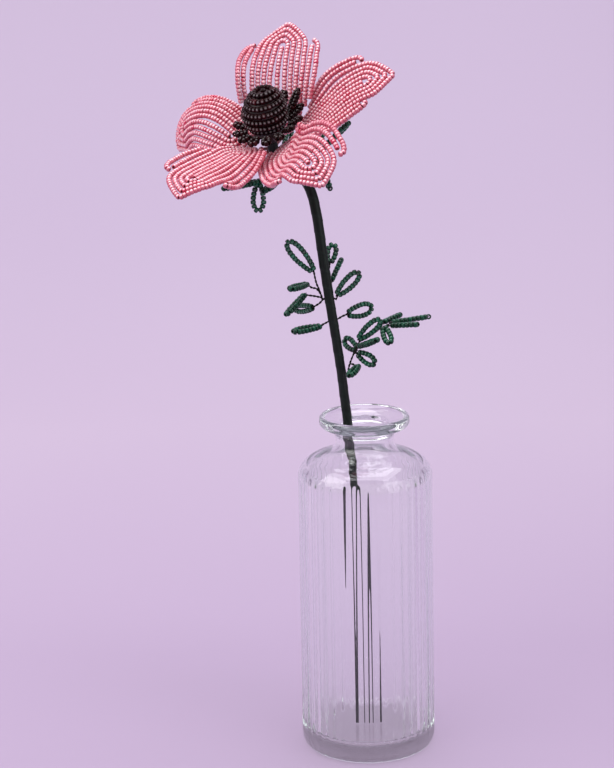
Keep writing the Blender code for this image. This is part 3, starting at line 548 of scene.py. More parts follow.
# turn, roll, bend_left and bend_right are given at the base, the middle and the tip, rise at the five
# stations. slits are (row, middle, half length, extra gap), with the row's sign for its side.
PETALS = (
    {
        "angle": 65.3, "out": 15.2, "up": 2.4, "aside": 0.8,
        "rise": (75.9, 75.0, 53.3, 28.1, 14.7),
        "turn": (2.0, -5.0, 0.5), "roll": (5.9, 17.5, -6.1),
        "bend_left": (0.052, 0.026, -0.047), "bend_right": (0.037, 0.035, -0.049),
        "tops": (31.0, 28.0), "starts": ((1.5, 4.5), (1.5, 4.5)),
        "slits": ((5, 12.0, 16.0, 1.2), (1, 8.0, 18.0, 0.7), (-1, 8.0, 18.0, 0.7), (-6, 16.0, 12.0, 0.5)),
    },
    {
        "angle": -3.5, "out": 17.1, "up": 0.3, "aside": -0.1,
        "rise": (32.2, 34.9, 33.3, 14.8, -4.7),
        "turn": (-1.0, 3.2, -10.4), "roll": (-6.0, 6.4, 22.2),
        "bend_left": (0.025, -0.007, 0.016), "bend_right": (0.020, 0.020, -0.003),
        "tops": (26.0, 28.0), "starts": ((1.5, 4.5), (1.5, 4.5)),
        "slits": ((5, 12.0, 14.0, 0.9), (4, 16.0, 14.0, 1.0)),
    },
    {
        "angle": 274.7, "out": 18.1, "up": -1.2, "aside": 3.6,
        "rise": (-17.7, 3.4, 28.4, -9.7, -33.2),
        "turn": (-39.7, 15.4, 6.3), "roll": (35.7, 27.7, -3.3),
        "bend_left": (0.068, 0.004, -0.023), "bend_right": (0.120, 0.013, -0.034),
        "tops": (26.0, 29.0), "starts": ((-7.0, -6.0), (-6.0, -4.0)),
        "slits": ((6, 18.0, 10.0, 0.8), (5, 16.0, 12.0, 1.2)),
    },
    {
        "angle": 218.9, "out": 17.5, "up": -1.0, "aside": -3.2,
        "rise": (18.5, 10.8, 11.3, 9.5, -24.1),
        "turn": (18.1, 10.5, 18.9), "roll": (3.7, -1.5, 0.4),
        "bend_left": (0.073, 0.025, 0.030), "bend_right": (0.078, -0.047, -0.014),
        "tops": (25.5, 24.0), "starts": ((1.5, 4.5), (-6.0, -3.0)),
        "slits": ((-6, 16.0, 12.0, 0.8), (-5, 10.0, 10.0, 0.6), (5, 4.0, 9.0, 0.5)),
    },
    {
        "angle": 143.1, "out": 17.3, "up": -0.4, "aside": 2.9,
        "rise": (35.3, 29.4, 5.4, -41.0, -74.8),
        "turn": (1.3, -12.4, 2.4), "roll": (3.6, -29.3, -50.6),
        "bend_left": (0.022, -0.048, -0.032), "bend_right": (0.031, -0.052, -0.038),
        "tops": (26.0, 26.0), "starts": ((1.5, 4.5), (1.5, 4.5)),
        "slits": ((-1, 10.0, 12.0, 0.8), (1, 8.0, 10.0, 0.4)),
    },
)


def between(values, v):
    """Values given at the stations, read along the petal and a little beyond its ends."""
    values = np.asarray(values, float)
    slopes = np.gradient(values, STATIONS)
    i = np.clip(np.searchsorted(STATIONS, v) - 1, 0, len(STATIONS) - 2)
    gap = STATIONS[i + 1] - STATIONS[i]
    t = np.clip((v - STATIONS[i]) / gap, -BEYOND, 1 + BEYOND)
    return hermite(t, values[i], gap * slopes[i], values[i + 1], gap * slopes[i + 1])


def at_stations(three):
    """Values for the five stations from those at the base, the middle and the tip."""
    base, middle, tip = three
    return (base, (2 * base + 3 * middle) / 5, middle, (middle + tip) / 2, tip)


class PetalSheet:
    """The curved middle surface of a petal, with u across and v from the base to the tip."""

    def __init__(self, petal):
        a = math.radians(petal["angle"])
        radial = math.cos(a) * ACROSS + math.sin(a) * BEHIND
        sideways = -math.sin(a) * ACROSS + math.cos(a) * BEHIND
        self.v = np.linspace(SHEET_FROM, SHEET_TO, SHEET_STEPS)
        rise = np.radians(between(petal["rise"], self.v))[:, None]
        turn = np.radians(between(at_stations(petal["turn"]), self.v))[:, None]
        roll = np.radians(between(at_stations(petal["roll"]), self.v))[:, None]
        along = np.cos(rise) * (np.cos(turn) * radial + np.sin(turn) * sideways) + np.sin(rise) * OUT
        step = self.v[1] - self.v[0]
        spine = np.vstack([np.zeros(3), np.cumsum((along[1:] + along[:-1]) / 2 * step, axis=0)])
        base = CENTRE + petal["out"] * radial + petal["up"] * OUT + petal["aside"] * sideways
        self.spine = spine - read_at(0.0, self.v, spine) + base
        across = -np.sin(turn) * radial + np.cos(turn) * sideways
        above = np.cross(along, across)
        self.across = np.cos(roll) * across + np.sin(roll) * above
        self.above = np.cos(roll) * above - np.sin(roll) * across
        self.bend_left = between(at_stations(petal["bend_left"]), self.v)
        self.bend_right = between(at_stations(petal["bend_right"]), self.v)

    def at(self, u, v):
        """Points and normals of the surface."""
        spine, across, above = (
            read_at(v, self.v, field) for field in (self.spine, self.across, self.above)
        )
        bend = np.where(u > 0, np.interp(v, self.v, self.bend_right), np.interp(v, self.v, self.bend_left))
        bend = np.where(abs(bend) < LEAST_BEND, LEAST_BEND, bend)[:, None]
        arc = bend * abs(u)[:, None]
        sign = np.sign(u)[:, None]
        points = spine + sign * np.sin(arc) / bend * across + (1 - np.cos(arc)) / bend * above
        return points, np.cos(arc) * above - sign * np.sin(arc) * across


def row_side(row, side, v, slits):
    """Distance of a row from the middle one at each v, with the slits that open inside it."""
    u = row * SIDE_STEP * (WIDTH_BASE + WIDTH_GAIN * eased((v - WIDTH_FROM) / WIDTH_REACH))
    for gap, middle, half, extra in slits:
        if gap * side > 0 and row >= abs(gap):
            t = np.clip((v - middle) / half, -1, 1)
            u = u + extra * (1 - t * t) ** 2
    return u


def round_base(v, base):
    """How much of its width a row keeps where it rounds the base."""
    return np.where(v < 0, np.sqrt(np.clip(1 - (v / base) ** 2, 0, 1)), 1.0)


def full_row(row, side, slits):
    """Half of a full row, from the middle of its base to its tip."""
    tip, base = MIDDLE_ROW + TIP_STEP * row, -BASE_STEP * row
    share = np.linspace(0, 1, ROW_POINTS)
    v = base + (tip - base) * (0.5 - 0.5 * np.cos(np.pi * share**POINT_SPREAD))
    wide = row_side(row, side, v, slits)
    u = wide * round_base(v, base)
    left = np.maximum(tip - v, 0)
    pointed = TIP_SLOPE * np.sqrt(left * (left + TIP_BLUNT))
    both = np.maximum(u, LEAST_WIDTH) ** -TIP_BLEND + np.maximum(pointed, LEAST_WIDTH) ** -TIP_BLEND
    u = np.where(pointed < TIP_REACH * wide, both ** (-1 / TIP_BLEND), u)
    u[0] = u[-1] = 0
    return side * u, v


def shoulder_row(row, side, slits, top, start):
    """A shoulder row from where it starts beside the base to its rounded top."""
    rounding, last_angle, extra = SHOULDERS[row]
    end, base = top - (max(SHOULDERS) - row) * SHOULDER_STEP, -BASE_STEP * row
    v = start + (end - rounding - start) * np.linspace(0, 1, ROW_POINTS)
    u = row_side(row, side, v, slits) * round_base(v, base)
    arc = np.radians(np.linspace(0, last_angle, TOP_POINTS))[1:]
    inner = row_side(FULL_ROWS, side, np.array([end]), slits)[0] + SHOULDER_INSIDE
    below_tip = MIDDLE_ROW + TIP_STEP * FULL_ROWS - end
    inner = min(inner, SHOULDER_NARROW * below_tip + SHOULDER_EDGE) + extra
    u = np.concatenate([u, inner + (u[-1] - inner) * np.cos(arc)])
    v = np.concatenate([v, end - rounding + rounding * np.sin(arc)])
    return side * u, v


def petal_rows(petal):
    """Every row of the petal as (u, v, margins): what stays bare at its ends, or None if closed."""
    slits = petal["slits"]
    v = np.linspace(0, MIDDLE_ROW, MIDDLE_POINTS)
    rows = [(0 * v, v, MIDDLE_MARGIN)]
    for row in range(1, FULL_ROWS + 1):
        left_u, left_v = full_row(row, -1, slits)
        right_u, right_v = full_row(row, 1, slits)
        u = np.concatenate([left_u[::-1], right_u[1:-1]])
        v = np.concatenate([left_v[::-1], right_v[1:-1]])
        rows.append((u, v, None))
    for side, top, starts in zip((-1, 1), petal["tops"], petal["starts"]):
        for row, start in zip(SHOULDERS, starts):
            rows.append((*shoulder_row(row, side, slits, top, start), SHOULDER_MARGIN))
    return rows


def petal_tail(sheet, angle):
    """The middle line of the tail."""
    base = -BASE_STEP * TAIL_ROWS
    v = np.linspace(TAIL_FROM, base - TAIL_BEYOND, TAIL_POINTS)
    spine, above = sheet.at(0 * v, v)
    sunk = np.interp(v, (base, TAIL_SUNK_AT, TAIL_FROM), TAIL_SUNK)
    hub_heights = np.array([HUB_HEIGHTS[1] - TAIL_DOWN, HUB_HEIGHTS[2]])
    hub = in_flower(HUB_RADIUS + TAIL_OUT, angle, hub_heights)
    return smooth_line(np.vstack([spine - above * sunk[:, None], hub]), TAIL_STEPS)


def make_petal(number, petal):
    sheet = PetalSheet(petal)
    beads, wires = Build(), Build()
    for u, v, margin in petal_rows(petal):
        points, normals = sheet.at(u, v)
        ends = {"closed": True} if margin is None else {"margin": margin}
        add_beads(beads, points, normals, PINK_PITCH, PINK_SHAPE, **ends)
        add_tube(wires, points[::ROW_WIRE_EVERY], THIN_WIRE, THIN_WIRE_SIDES)
    line = petal_tail(sheet, petal["angle"])
    for wire in range(TAIL_WIRES):
        phase = np.arange(len(line)) * TAIL_TURN + wire * 2 * np.pi / TAIL_WIRES
        add_tube(wires, wound(line, phase, TAIL_TWIST), TAIL_WIRE, TAIL_WIRE_SIDES)
    dress(beads.done(f"petal_{number}_beads", PINK), "pink_beads", f"petal_{number}")
    dress(wires.done(f"petal_{number}_wires", BEAD_WIRE), "pink_beads")


# Dome: rings of beads as (radius, height over the centre), round a basket given in the same way

DOME_RINGS = (
    (6.5, 4.4), (8.0, 6.9), (8.2, 9.7), (7.9, 12.4), (7.0, 15.0), (5.6, 17.2), (3.6, 18.8),
)
DOME_APEX, DOME_APEX_HALF, DOME_APEX_PITCH = 19.3, 0.8, 1.6
DOME_LEAN, DOME_LEAN_FROM = 0.17, 10.0
DOME_POINTS, DOME_TURN = 120, 13.0
DOME_WAVE, DOME_WAVE_TURN = 0.2, 40
# The dome beads' normals, which aim their painted highlight and painted shade, point away from a point
# this far below the middle of each ring.
DOME_LIGHT_FROM = 3.0
DARK_SHAPE, DARK_PITCH = bead_shape(1.53, 1.17, 0.4), 1.5
# The basket is a solid core inside the rings, near black as painted shade: it fills the gaps between the
# rings and the foot of the dome, where shade lies.
BASKET = (
    (2.3, -2.7), (2.3, 1.4), (6.3, 1.6), (6.4, 5.0), (7.3, 6.4), (7.8, 8.0), (7.9, 9.8), (7.6, 12.4),
    (6.7, 14.8), (5.3, 16.9), (3.3, 18.4), (0.9, 18.9),
)
BASKET_LOW, BASKET_TOP, BASKET_SIDES = -2.7, 19.0, 48


def in_dome(radius, angle, height):
    """As in_flower, for the dome, which leans a little to the right above its middle."""
    lean = np.maximum(0.0, np.asarray(height, float) - DOME_LEAN_FROM) * DOME_LEAN
    return in_flower(radius, angle, height) + lean[..., None] * ACROSS


def make_dome():
    beads, core = Build(), Build()
    for index, (radius, height) in enumerate(DOME_RINGS):
        angles = np.linspace(0, 360, DOME_POINTS, endpoint=False) + DOME_TURN * index
        wave = DOME_WAVE * np.sin(np.radians(angles * 2 + DOME_WAVE_TURN * index))
        line = in_dome(radius, angles, height + wave)
        outward = unit(line - in_dome(0.0, 0.0, height - DOME_LIGHT_FROM))
        add_beads(beads, line, outward, DARK_PITCH, DARK_SHAPE, closed=True)
    ends = (DOME_APEX - DOME_APEX_HALF, DOME_APEX + DOME_APEX_HALF)
    top = np.array([in_dome(0.0, 0.0, height) for height in ends])
    add_beads(beads, top, np.array([ACROSS, ACROSS]), DOME_APEX_PITCH, DARK_SHAPE)
    turn = np.linspace(0, 360, BASKET_SIDES, endpoint=False)
    points = [in_dome(r, turn, np.full(BASKET_SIDES, h)) for r, h in BASKET]
    points += [in_dome(0.0, 0.0, h)[None] for h in (BASKET_LOW, BASKET_TOP)]
    rings = len(BASKET)
    core.add(np.vstack(points), grid_quads(rings, BASKET_SIDES), end_fans(rings, BASKET_SIDES))
    dress(beads.done("centre_beads", DARK), "dark_beads", "flower_centre")
    dress(core.done("centre_basket", CORE), "dark_beads")


# Stamens: loops of beads round the foot of the dome as (angle, raised angle, length)

STAMENS = (
    (14.0, 30.0, 8.0),
    (24.0, 50.0, 12.2),
    (48.0, 55.0, 10.4),
    (69.0, 56.0, 10.2),
    (97.0, 50.0, 7.5),
    (127.0, 38.0, 6.2),
    (155.0, 22.0, 5.6),
    (180.0, 8.0, 4.8),
    (206.0, 0.0, 4.6),
    (233.0, -4.0, 4.8),
    (260.0, -4.0, 4.8),
    (286.0, 4.0, 4.6),
    (314.0, 20.0, 4.8),
    (342.0, 26.0, 6.0),
)
STAMEN_RADIUS, STAMEN_HEIGHT, STAMEN_WIDTH = 8.6, 3.4, 2.9
STAMEN_SHAPE, STAMEN_PITCH = bead_shape(1.5, 1.1, 0.4), 1.5
STAMEN_FOOT_SHARE, STAMEN_POINTS, STAMEN_WIRE_EVERY = 0.35, 60, 4
STAMEN_SUNK = 0.1
STAMEN_RING_POINTS, STAMEN_RING_LIFTS = 80, (-0.25, 0.25)
STAMEN_RING_WIRE, STAMEN_RING_SIDES = 0.3, 6


def make_stamens():
    beads, wires = Build(), Build()
    ring_angles = np.linspace(0, 360, STAMEN_RING_POINTS, endpoint=False)
    ring = in_flower(STAMEN_RADIUS, ring_angles, STAMEN_HEIGHT)
    for lift in STAMEN_RING_LIFTS:
        add_tube(wires, ring + OUT * lift, STAMEN_RING_WIRE, STAMEN_RING_SIDES, closed=True)
    for angle, raised, length in STAMENS:
        out, up = math.cos(math.radians(raised)), math.sin(math.radians(raised))
        foot = in_flower(STAMEN_RADIUS - STAMEN_SUNK, angle, STAMEN_HEIGHT - STAMEN_SUNK)
        tip = in_flower(STAMEN_RADIUS + length * out, angle, STAMEN_HEIGHT + length * up)
        a = math.radians(angle)
        side = -math.sin(a) * ACROSS + math.cos(a) * BEHIND
        line, normal = loop_line(
            foot, unit(tip - foot), side, length, STAMEN_WIDTH, STAMEN_FOOT_SHARE, STAMEN_POINTS
        )
        add_beads(beads, line, normal, STAMEN_PITCH, STAMEN_SHAPE)
        wire = np.vstack([foot[None], line[::STAMEN_WIRE_EVERY], foot[None]])
        add_tube(wires, wire, THIN_WIRE, THIN_WIRE_SIDES)
    dress(beads.done("stamen_beads", DARK), "dark_beads", "stamen_ring")
    dress(wires.done("stamen_wires", CORE), "dark_beads")


# Stem: its centre line below the hub, its radii, and the tape wound round it

STEM_LINE = (
    (-26.0, 8.0, 243.0), (-20.8, 7.6, 236.6), (-18.2, 4.6, 228.0), (-16.1, 1.5, 212.9),
    (-14.2, 0.4, 198.4), (-12.1, -1.0, 183.4), (-9.8, -1.6, 167.2), (-7.9, -2.0, 151.2),
    (-6.8, -2.0, 140.5), (-5.3, -1.0, 120.4), (-1.9, -0.5, 64.0), (-0.4, 0.0, 7.45),
)
STEM_RADIUS, STEM_FOOT_RADIUS = 1.95, 1.55
STEM_TAPER_LOW, STEM_TAPER_HIGH = 112.0, 132.0
HUB_SHARE = 0.35
STEM_SIDES, STEM_STEPS, STEM_STEP = 28, 40, 0.45
LAP_PITCH, LAP_PITCH_SWING, LAP_PITCH_WAVE = 6.5, 0.8, 31.0
LAP_RISE, UNDER_LAP = 0.13, 0.97
LUMPS, LUMP_SHARE = ((3, 0.05, 9.0), (1, 0.04, 3.1)), 0.8


def make_stem():
    top = np.array([in_flower(0.0, 0.0, h) for h in HUB_HEIGHTS])
    line = smooth_line(np.vstack([top, np.array(STEM_LINE)]), STEM_STEPS)
    way = lengths_along(line)
    at = np.arange(0, way[-1], STEM_STEP)
    line = read_at(at, way, line)
    base = np.interp(line[:, 2], (STEM_TAPER_LOW, STEM_TAPER_HIGH), (STEM_FOOT_RADIUS, STEM_RADIUS))
    base = base + (HUB_RADIUS - STEM_RADIUS) * np.clip(1 - at / way[-1] / HUB_SHARE, 0, 1)
    turn = circle(STEM_SIDES)[None]
    pitch = LAP_PITCH + LAP_PITCH_SWING * np.sin(at / LAP_PITCH_WAVE)
    lap = (np.cumsum(STEM_STEP / pitch)[:, None] + turn / (2 * np.pi)) % 1.0
    lumps = sum(depth * np.sin(turn * waves + at[:, None] / length) for waves, depth, length in LUMPS)
    radii = base[:, None] * UNDER_LAP + LAP_RISE * lap**3 + lumps * LUMP_SHARE
    build = Build()
    add_tube(build, line, radii, STEM_SIDES, lap=np.concatenate([lap.reshape(-1), [0.0, 0.0]]))
    dress(build.done("stem_taped", TAPE), "stem_tape", "stem")


# Green loops as (foot, tip, width, turn of the plane in degrees: at 0 it faces the viewer), and the
# lines of the wires that carry them

BRACTS = (
    (
        ((-40.6, -6.0, 240.3), (-40.8, -8.0, 229.7), 4.4, 0.0),
        ((-34.0, -4.0, 239.8), (-38.3, -10.0, 237.7), 3.0, 80.0),
        ((-39.2, -5.6, 241.1), (-53.9, -14.0, 239.7), 3.0, 80.0),
    ),
    (
        ((-15.1, 9.0, 251.0), (-4.4, 4.0, 262.1), 3.0, 70.0),
        ((-16.8, 8.0, 247.1), (-12.2, 4.0, 236.1), 3.0, 70.0),
    ),
    (
        ((-23.8, 17.2, 247.8), (-14.6, 27.4, 254.5), 3.6, 11.0),
        ((-30.2, 20.3, 249.1), (-27.6, 32.6, 256.3), 3.6, 43.0),
    ),
)
BRACT_WIRES = (
    (((-33.6, 2.0, 243.7), (-34.0, -0.5, 242.8), (-37.0, -4.0, 241.5), (-40.3, -6.3, 240.8)),
     ((-33.9, 0.2, 243.1), (-33.6, -2.0, 241.4), (-34.2, -4.6, 239.6))),
    (((-24.2, 8.4, 245.2), (-20.0, 9.0, 247.4), (-15.0, 9.0, 251.2)),
     ((-20.4, 9.0, 247.2), (-18.0, 8.6, 247.4), (-16.7, 8.0, 246.8))),
    (((-30.9, 10.7, 246.0), (-31.6, 15.2, 246.9), (-30.4, 20.9, 249.6)),
     ((-31.1, 11.9, 246.1), (-26.6, 12.9, 246.6), (-23.4, 17.9, 248.3))),
)
UPPER_LOOPS = (
    ((-19.6, 0.5, 203.3), (-29.5, -3.5, 216.1), 4.9, 0.0),
    ((-12.9, 5.0, 205.7), (-11.3, 8.5, 212.5), 3.6, 0.0),
    ((-12.3, 4.5, 198.4), (-8.1, 12.0, 205.6), 2.6, 80.0),
    ((-10.2, 0.0, 193.4), (-1.6, -4.0, 203.1), 4.2, 0.0),
    ((-22.2, -2.0, 198.6), (-28.8, -14.0, 199.1), 3.2, 90.0),
    ((-23.1, -1.0, 194.3), (-30.7, -9.0, 187.8), 3.2, 80.0),
    ((-20.0, 1.0, 188.3), (-27.6, 11.0, 185.7), 2.9, 0.0),
)
UPPER_WIRES = (
    ((-10.4, 0.5, 191.6), (-12.2, 2.6, 191.7), (-14.5, 2.5, 191.6), (-16.1, 0.8, 191.8),
     (-16.6, 0.0, 193.4), (-17.7, 0.0, 196.5), (-18.6, 0.0, 199.0), (-19.5, 0.4, 203.6)),
    ((-16.9, 0.0, 194.2), (-18.5, 0.0, 196.2), (-20.4, -1.0, 196.9), (-22.5, -2.4, 198.7)),
    ((-16.2, 0.5, 192.3), (-19.0, -0.4, 193.2), (-23.4, -1.2, 194.1)),
    ((-16.0, 0.8, 191.6), (-17.4, 1.0, 190.0), (-20.3, 1.2, 188.2)),
    ((-10.8, 0.9, 191.7), (-10.3, 0.5, 192.3), (-10.1, 0.0, 193.7)),
    ((-12.5, 2.6, 191.6), (-12.9, 3.4, 195.0), (-12.2, 4.6, 198.7)),
    ((-12.9, 3.2, 194.4), (-13.6, 4.0, 199.0), (-12.8, 5.0, 206.0)),
)
MIDDLE_LOOPS = (
    ((-16.9, -1.0, 181.0), (-28.1, -8.0, 180.5), 3.0, 75.0),
    ((-6.1, 1.5, 185.2), (3.9, 8.5, 186.2), 5.0, 0.0),
)
MIDDLE_WIRES = (
    ((-17.4, -1.0, 181.0), (-14.9, 0.2, 182.0), (-12.9, 1.7, 182.6), (-10.6, 1.6, 183.0),
     (-8.4, 1.5, 184.2), (-5.8, 1.6, 185.3)),
)
LOWER_LOOPS = (
    ((-1.8, -2.0, 175.5), (6.7, -7.0, 184.3), 3.7, 0.0),
    ((8.2, 0.0, 181.7), (15.3, 9.0, 182.7), 3.0, 75.0),
    ((11.4, -1.0, 181.8), (26.7, 1.0, 183.5), 2.8, 80.0),
    ((8.2, -4.5, 180.8), (10.3, -12.0, 176.0), 3.0, 0.0),
    ((-2.7, 0.0, 170.6), (-7.1, 8.0, 173.1), 3.6, 0.0),
    ((-1.4, -3.0, 172.8), (5.3, -12.0, 177.1), 3.4, 80.0),
    ((-2.3, -1.5, 169.5), (4.2, -8.0, 166.8), 3.8, 0.0),
    ((-2.3, -3.0, 164.6), (-5.8, -12.0, 162.9), 3.0, 80.0),
    ((11.3, -3.0, 181.0), (21.5, -8.0, 182.3), 2.8, 80.0),
)
LOWER_WIRES = (
    ((-6.4, -1.6, 161.2), (-5.7, -1.4, 164.7), (-3.7, -1.2, 169.7), (-1.4, -1.2, 174.2),
     (1.6, -1.2, 175.8), (4.5, -1.2, 177.8), (6.9, -1.4, 179.4), (11.8, -1.2, 181.8)),
    ((-1.3, -1.2, 174.0), (-1.7, -1.6, 174.8), (-1.6, -2.2, 175.8)),
    ((6.6, -1.4, 179.2), (7.4, -0.6, 180.4), (8.5, 0.4, 181.8)),
    ((7.2, -1.4, 179.5), (7.9, -3.2, 180.0), (8.3, -5.0, 180.6)),
    ((-3.9, -1.2, 169.4), (-3.5, -0.4, 170.0), (-3.0, 0.4, 170.8)),
    ((-2.4, -1.2, 172.2), (-1.9, -2.4, 172.5), (-1.0, -3.6, 173.0)),
    ((-3.9, -1.2, 169.4), (-3.0, -1.4, 169.5), (-1.9, -1.9, 169.3)),
    ((-5.5, -1.4, 165.2), (-4.0, -2.2, 165.0), (-2.5, -3.6, 164.6)),
    ((9.0, -1.3, 180.4), (10.4, -2.4, 180.8), (11.8, -3.4, 181.1)),
)
GREEN_SHAPE, GREEN_PITCH = bead_shape(1.62, 1.14, 0.42), 1.66
LEAF_FOOT_SHARE, LEAF_POINTS, LEAF_WIRE_EVERY, LEAF_WIRE_BEHIND = 0.55, 90, 5, 0.8
CARRIER_STEPS, CARRIER_STRANDS, CARRIER_LAY = 8, 2, 3.2
CARRIER_TWIST, CARRIER_WIRE, CARRIER_SIDES = 0.22, 0.24, 6


def make_spray(name, node, loops, wire_lines):
    beads, wires = Build(), Build()
    for foot, tip, width, turned in loops:
        foot, tip = np.array(foot), np.array(tip)
        length = np.linalg.norm(tip - foot)
        along = (tip - foot) / length
        facing = unit(np.cross(along, (0.0, 1.0, 0.0)))
        edge = np.cross(along, facing)
        a = math.radians(turned)
        side = math.cos(a) * facing + math.sin(a) * edge
        line, normal = loop_line(foot, along, side, length, width, LEAF_FOOT_SHARE, LEAF_POINTS)
        add_beads(beads, line, normal, GREEN_PITCH, GREEN_SHAPE)
        end = (foot - along * LEAF_WIRE_BEHIND)[None]
        add_tube(wires, np.vstack([end, line[::LEAF_WIRE_EVERY], end]), THIN_WIRE, THIN_WIRE_SIDES)
    for points in wire_lines:
        line = smooth_line(points, CARRIER_STEPS)
        way = lengths_along(line)
        for strand in range(CARRIER_STRANDS):
            phase = way * 2 * np.pi / CARRIER_LAY + strand * 2 * np.pi / CARRIER_STRANDS
            add_tube(wires, wound(line, phase, CARRIER_TWIST), CARRIER_WIRE, CARRIER_SIDES)
    dress(beads.done(name + "_beads", GREEN), "green_beads", node)
    dress(wires.done(name + "_wires", LEAF_WIRE), "green_beads")


# Bottle: its levels run from the base up the fluted body, over the lip and down the inside.
# SHOULDER_AND_LIP is the stretch from the shoulder's corner to the inside of the shoulder as
# (radius, height), and CORNER_LINE is that corner as (height, radius).

FLUTES, PER_FLUTE, FLUTE_DEPTH = 44, 14, 0.42
CREST_AT = math.radians(-91.2)
FLUTE_HIGH, FLUTE_FADE, FLUTE_FADE_SHARE, FLUTE_FADE_STEPS = 122.0, 3.4, 0.93, 8
FLUTE_FADE_LATE = 0.1
FLUTE_LOW, FLUTE_LOW_FADE = 0.8, 3.0
BODY_TOP, BODY_BASE = (27.75, 118.4), (28.15, 5.0)
BODY_LEVELS = (12.0, 30.0, 60.0, 90.0, 110.0)
CORNER_LINE = ((118.4, 27.75), (118.7, 27.7), (121.2, 26.9), (122.0, 26.45))
INSIDE_FROM = 26.0
HEEL_WIDE, HEEL_TALL, HEEL_STEPS = 3.2, 4.5, 9
SHOULDER_AND_LIP = (
    (27.7, 118.7), (26.9, 121.2), (24.8, 123.7), (21.5, 125.8), (17.6, 127.3),
    (14.4, 128.5), (12.6, 130.2), (12.05, 132.6), (12.3, 135.2), (13.6, 136.9), (15.8, 138.0),
    (17.7, 138.9), (18.5, 140.2), (18.6, 141.6), (18.3, 142.7), (17.6, 143.25), (16.9, 143.05),
    (15.6, 142.3), (13.0, 141.2), (10.9, 140.0), (9.9, 138.0), (9.8, 135.0), (9.8, 131.6),
    (10.9, 129.0), (13.6, 126.7), (18.4, 124.3), (22.0, 121.8), (24.1, 117.8), (24.6, 113.4),
)
OUTLINE_STEPS = 5
INNER_RADIUS, INNER_LEVELS = 24.6, (90.0, 50.0, 20.0, 13.0)
INNER_ROUND, INNER_ROUND_STEPS, INNER_FLOOR = 4.0, 8, 7.0
FLOOR_RADII, FLOOR_EDGE, FLOOR_DISH, FLOOR_MIDDLE = (14.0, 8.0, 3.0), 6.95, 0.15, 6.8


def bottle_outline():
    """Levels of the bottle as (radius, height, share of the flutes' depth)."""
    (top, high), (base, low) = BODY_TOP, BODY_BASE
    levels = [(base - HEEL_WIDE, 0.0, 0.0)]
    for step in range(1, HEEL_STEPS + 1):
        a = math.pi / 2 * step / HEEL_STEPS
        height = HEEL_TALL * (1 - math.cos(a))
        fluted = eased((height - FLUTE_LOW) / FLUTE_LOW_FADE)
        levels.append((base - HEEL_WIDE * (1 - math.sin(a)), height, fluted))
    levels += [(base + (top - base) * (z - low) / (high - low), z, 1.0) for z in BODY_LEVELS]
    for share in np.linspace(0, 1, FLUTE_FADE_STEPS):
        z = FLUTE_HIGH - FLUTE_FADE * (1 - FLUTE_FADE_SHARE * share)
        fluted = 1 - eased(share * (1 + FLUTE_FADE_LATE) - FLUTE_FADE_LATE)
        levels.append((np.interp(z, *zip(*CORNER_LINE)), z, fluted))
    smooth = smooth_line(SHOULDER_AND_LIP, OUTLINE_STEPS)
    levels += [(r, z, 0.0) for r, z in smooth if z > FLUTE_HIGH or r < INSIDE_FROM]
    levels += [(INNER_RADIUS, z, 0.0) for z in INNER_LEVELS]
    flat = INNER_RADIUS - INNER_ROUND
    for step in range(1, INNER_ROUND_STEPS + 1):
        a = math.pi / 2 * step / INNER_ROUND_STEPS
        height = INNER_FLOOR + INNER_ROUND * (1 - math.sin(a))
        levels.append((flat + INNER_ROUND * math.cos(a), height, 0.0))
    levels += [(r, FLOOR_EDGE - FLOOR_DISH * (1 - r / flat), 0.0) for r in FLOOR_RADII]
    return levels


def make_bottle():
    sides = FLUTES * PER_FLUTE
    turn = CREST_AT + circle(sides)
    phase = (np.arange(sides) % PER_FLUTE) / PER_FLUTE
    scallop = FLUTE_DEPTH * (0.5 - 0.5 * np.cos(2 * np.pi * phase))
    rings = []
    for radius, height, fluted in bottle_outline():
        r = radius - scallop * fluted
        rings.append(np.stack([r * np.cos(turn), r * np.sin(turn), np.full(sides, height)], -1))
    points = np.vstack(rings + [np.array([[0.0, 0.0, 0.0], [0.0, 0.0, FLOOR_MIDDLE]])])
    count = len(rings)
    bottle = add_mesh("bottle_glass", points, grid_quads(count, sides), end_fans(count, sides), GLASS)
    bottle.visible_shadow = False
    dress(bottle, "bottle_glass", "bottle")


# Studio

PAPER = ((0.3, (0.545, 0.447, 0.588)), (0.7, (0.572, 0.478, 0.612)))
# Painted shade: the paper is multiplied by these by its Y in metres, darker on the floor up to 0.1 m and
# full from 0.5 m.
PAPER_SHADE = ((0.1, (0.86, 0.82, 0.87)), (0.5, (1.03, 1.03, 1.0)), (0.9, (1.0, 1.0, 1.0)))
SWEEP_FRONT, SWEEP_FROM, SWEEP_RADIUS, SWEEP_TOP = -1500.0, 500.0, 700.0, 3000.0
SWEEP_HALF, SWEEP_COLUMNS, SWEEP_STEPS = 2500, 12, 24
WORLD_COLOUR, WORLD_STRENGTH = (0.93, 0.90, 1.0, 1.0), 0.34

# Soft lights as (name, place, target, (width, height) in metres, watts, colour)
LIGHTS = (
    ("key_left", (-900.0, -350.0, 900.0), (0.0, 0.0, 120.0), (0.9, 0.9), 8.0, (1.0, 0.98, 0.97)),
    ("overhead", (100.0, 150.0, 1700.0), (0.0, 150.0, 0.0), (1.6, 1.6), 25.0, (0.97, 0.97, 1.0)),
    ("fill_right", (900.0, -700.0, 500.0), (0.0, 0.0, 150.0), (0.6, 0.9), 3.0, (0.96, 0.96, 1.0)),
)
CAMERA_PLACE = (-23.132, -759.066, 348.623)
CAMERA_RIGHT, CAMERA_UP = (0.99976, -0.00536, -0.02120), (0.02187, 0.24508, 0.96926)
CAMERA_LENS, CAMERA_SENSOR, CAMERA_NEAR = 89.93, 36.0, 0.01
LIGHT_BOUNCES, CLEAR_BOUNCES = 24, 16


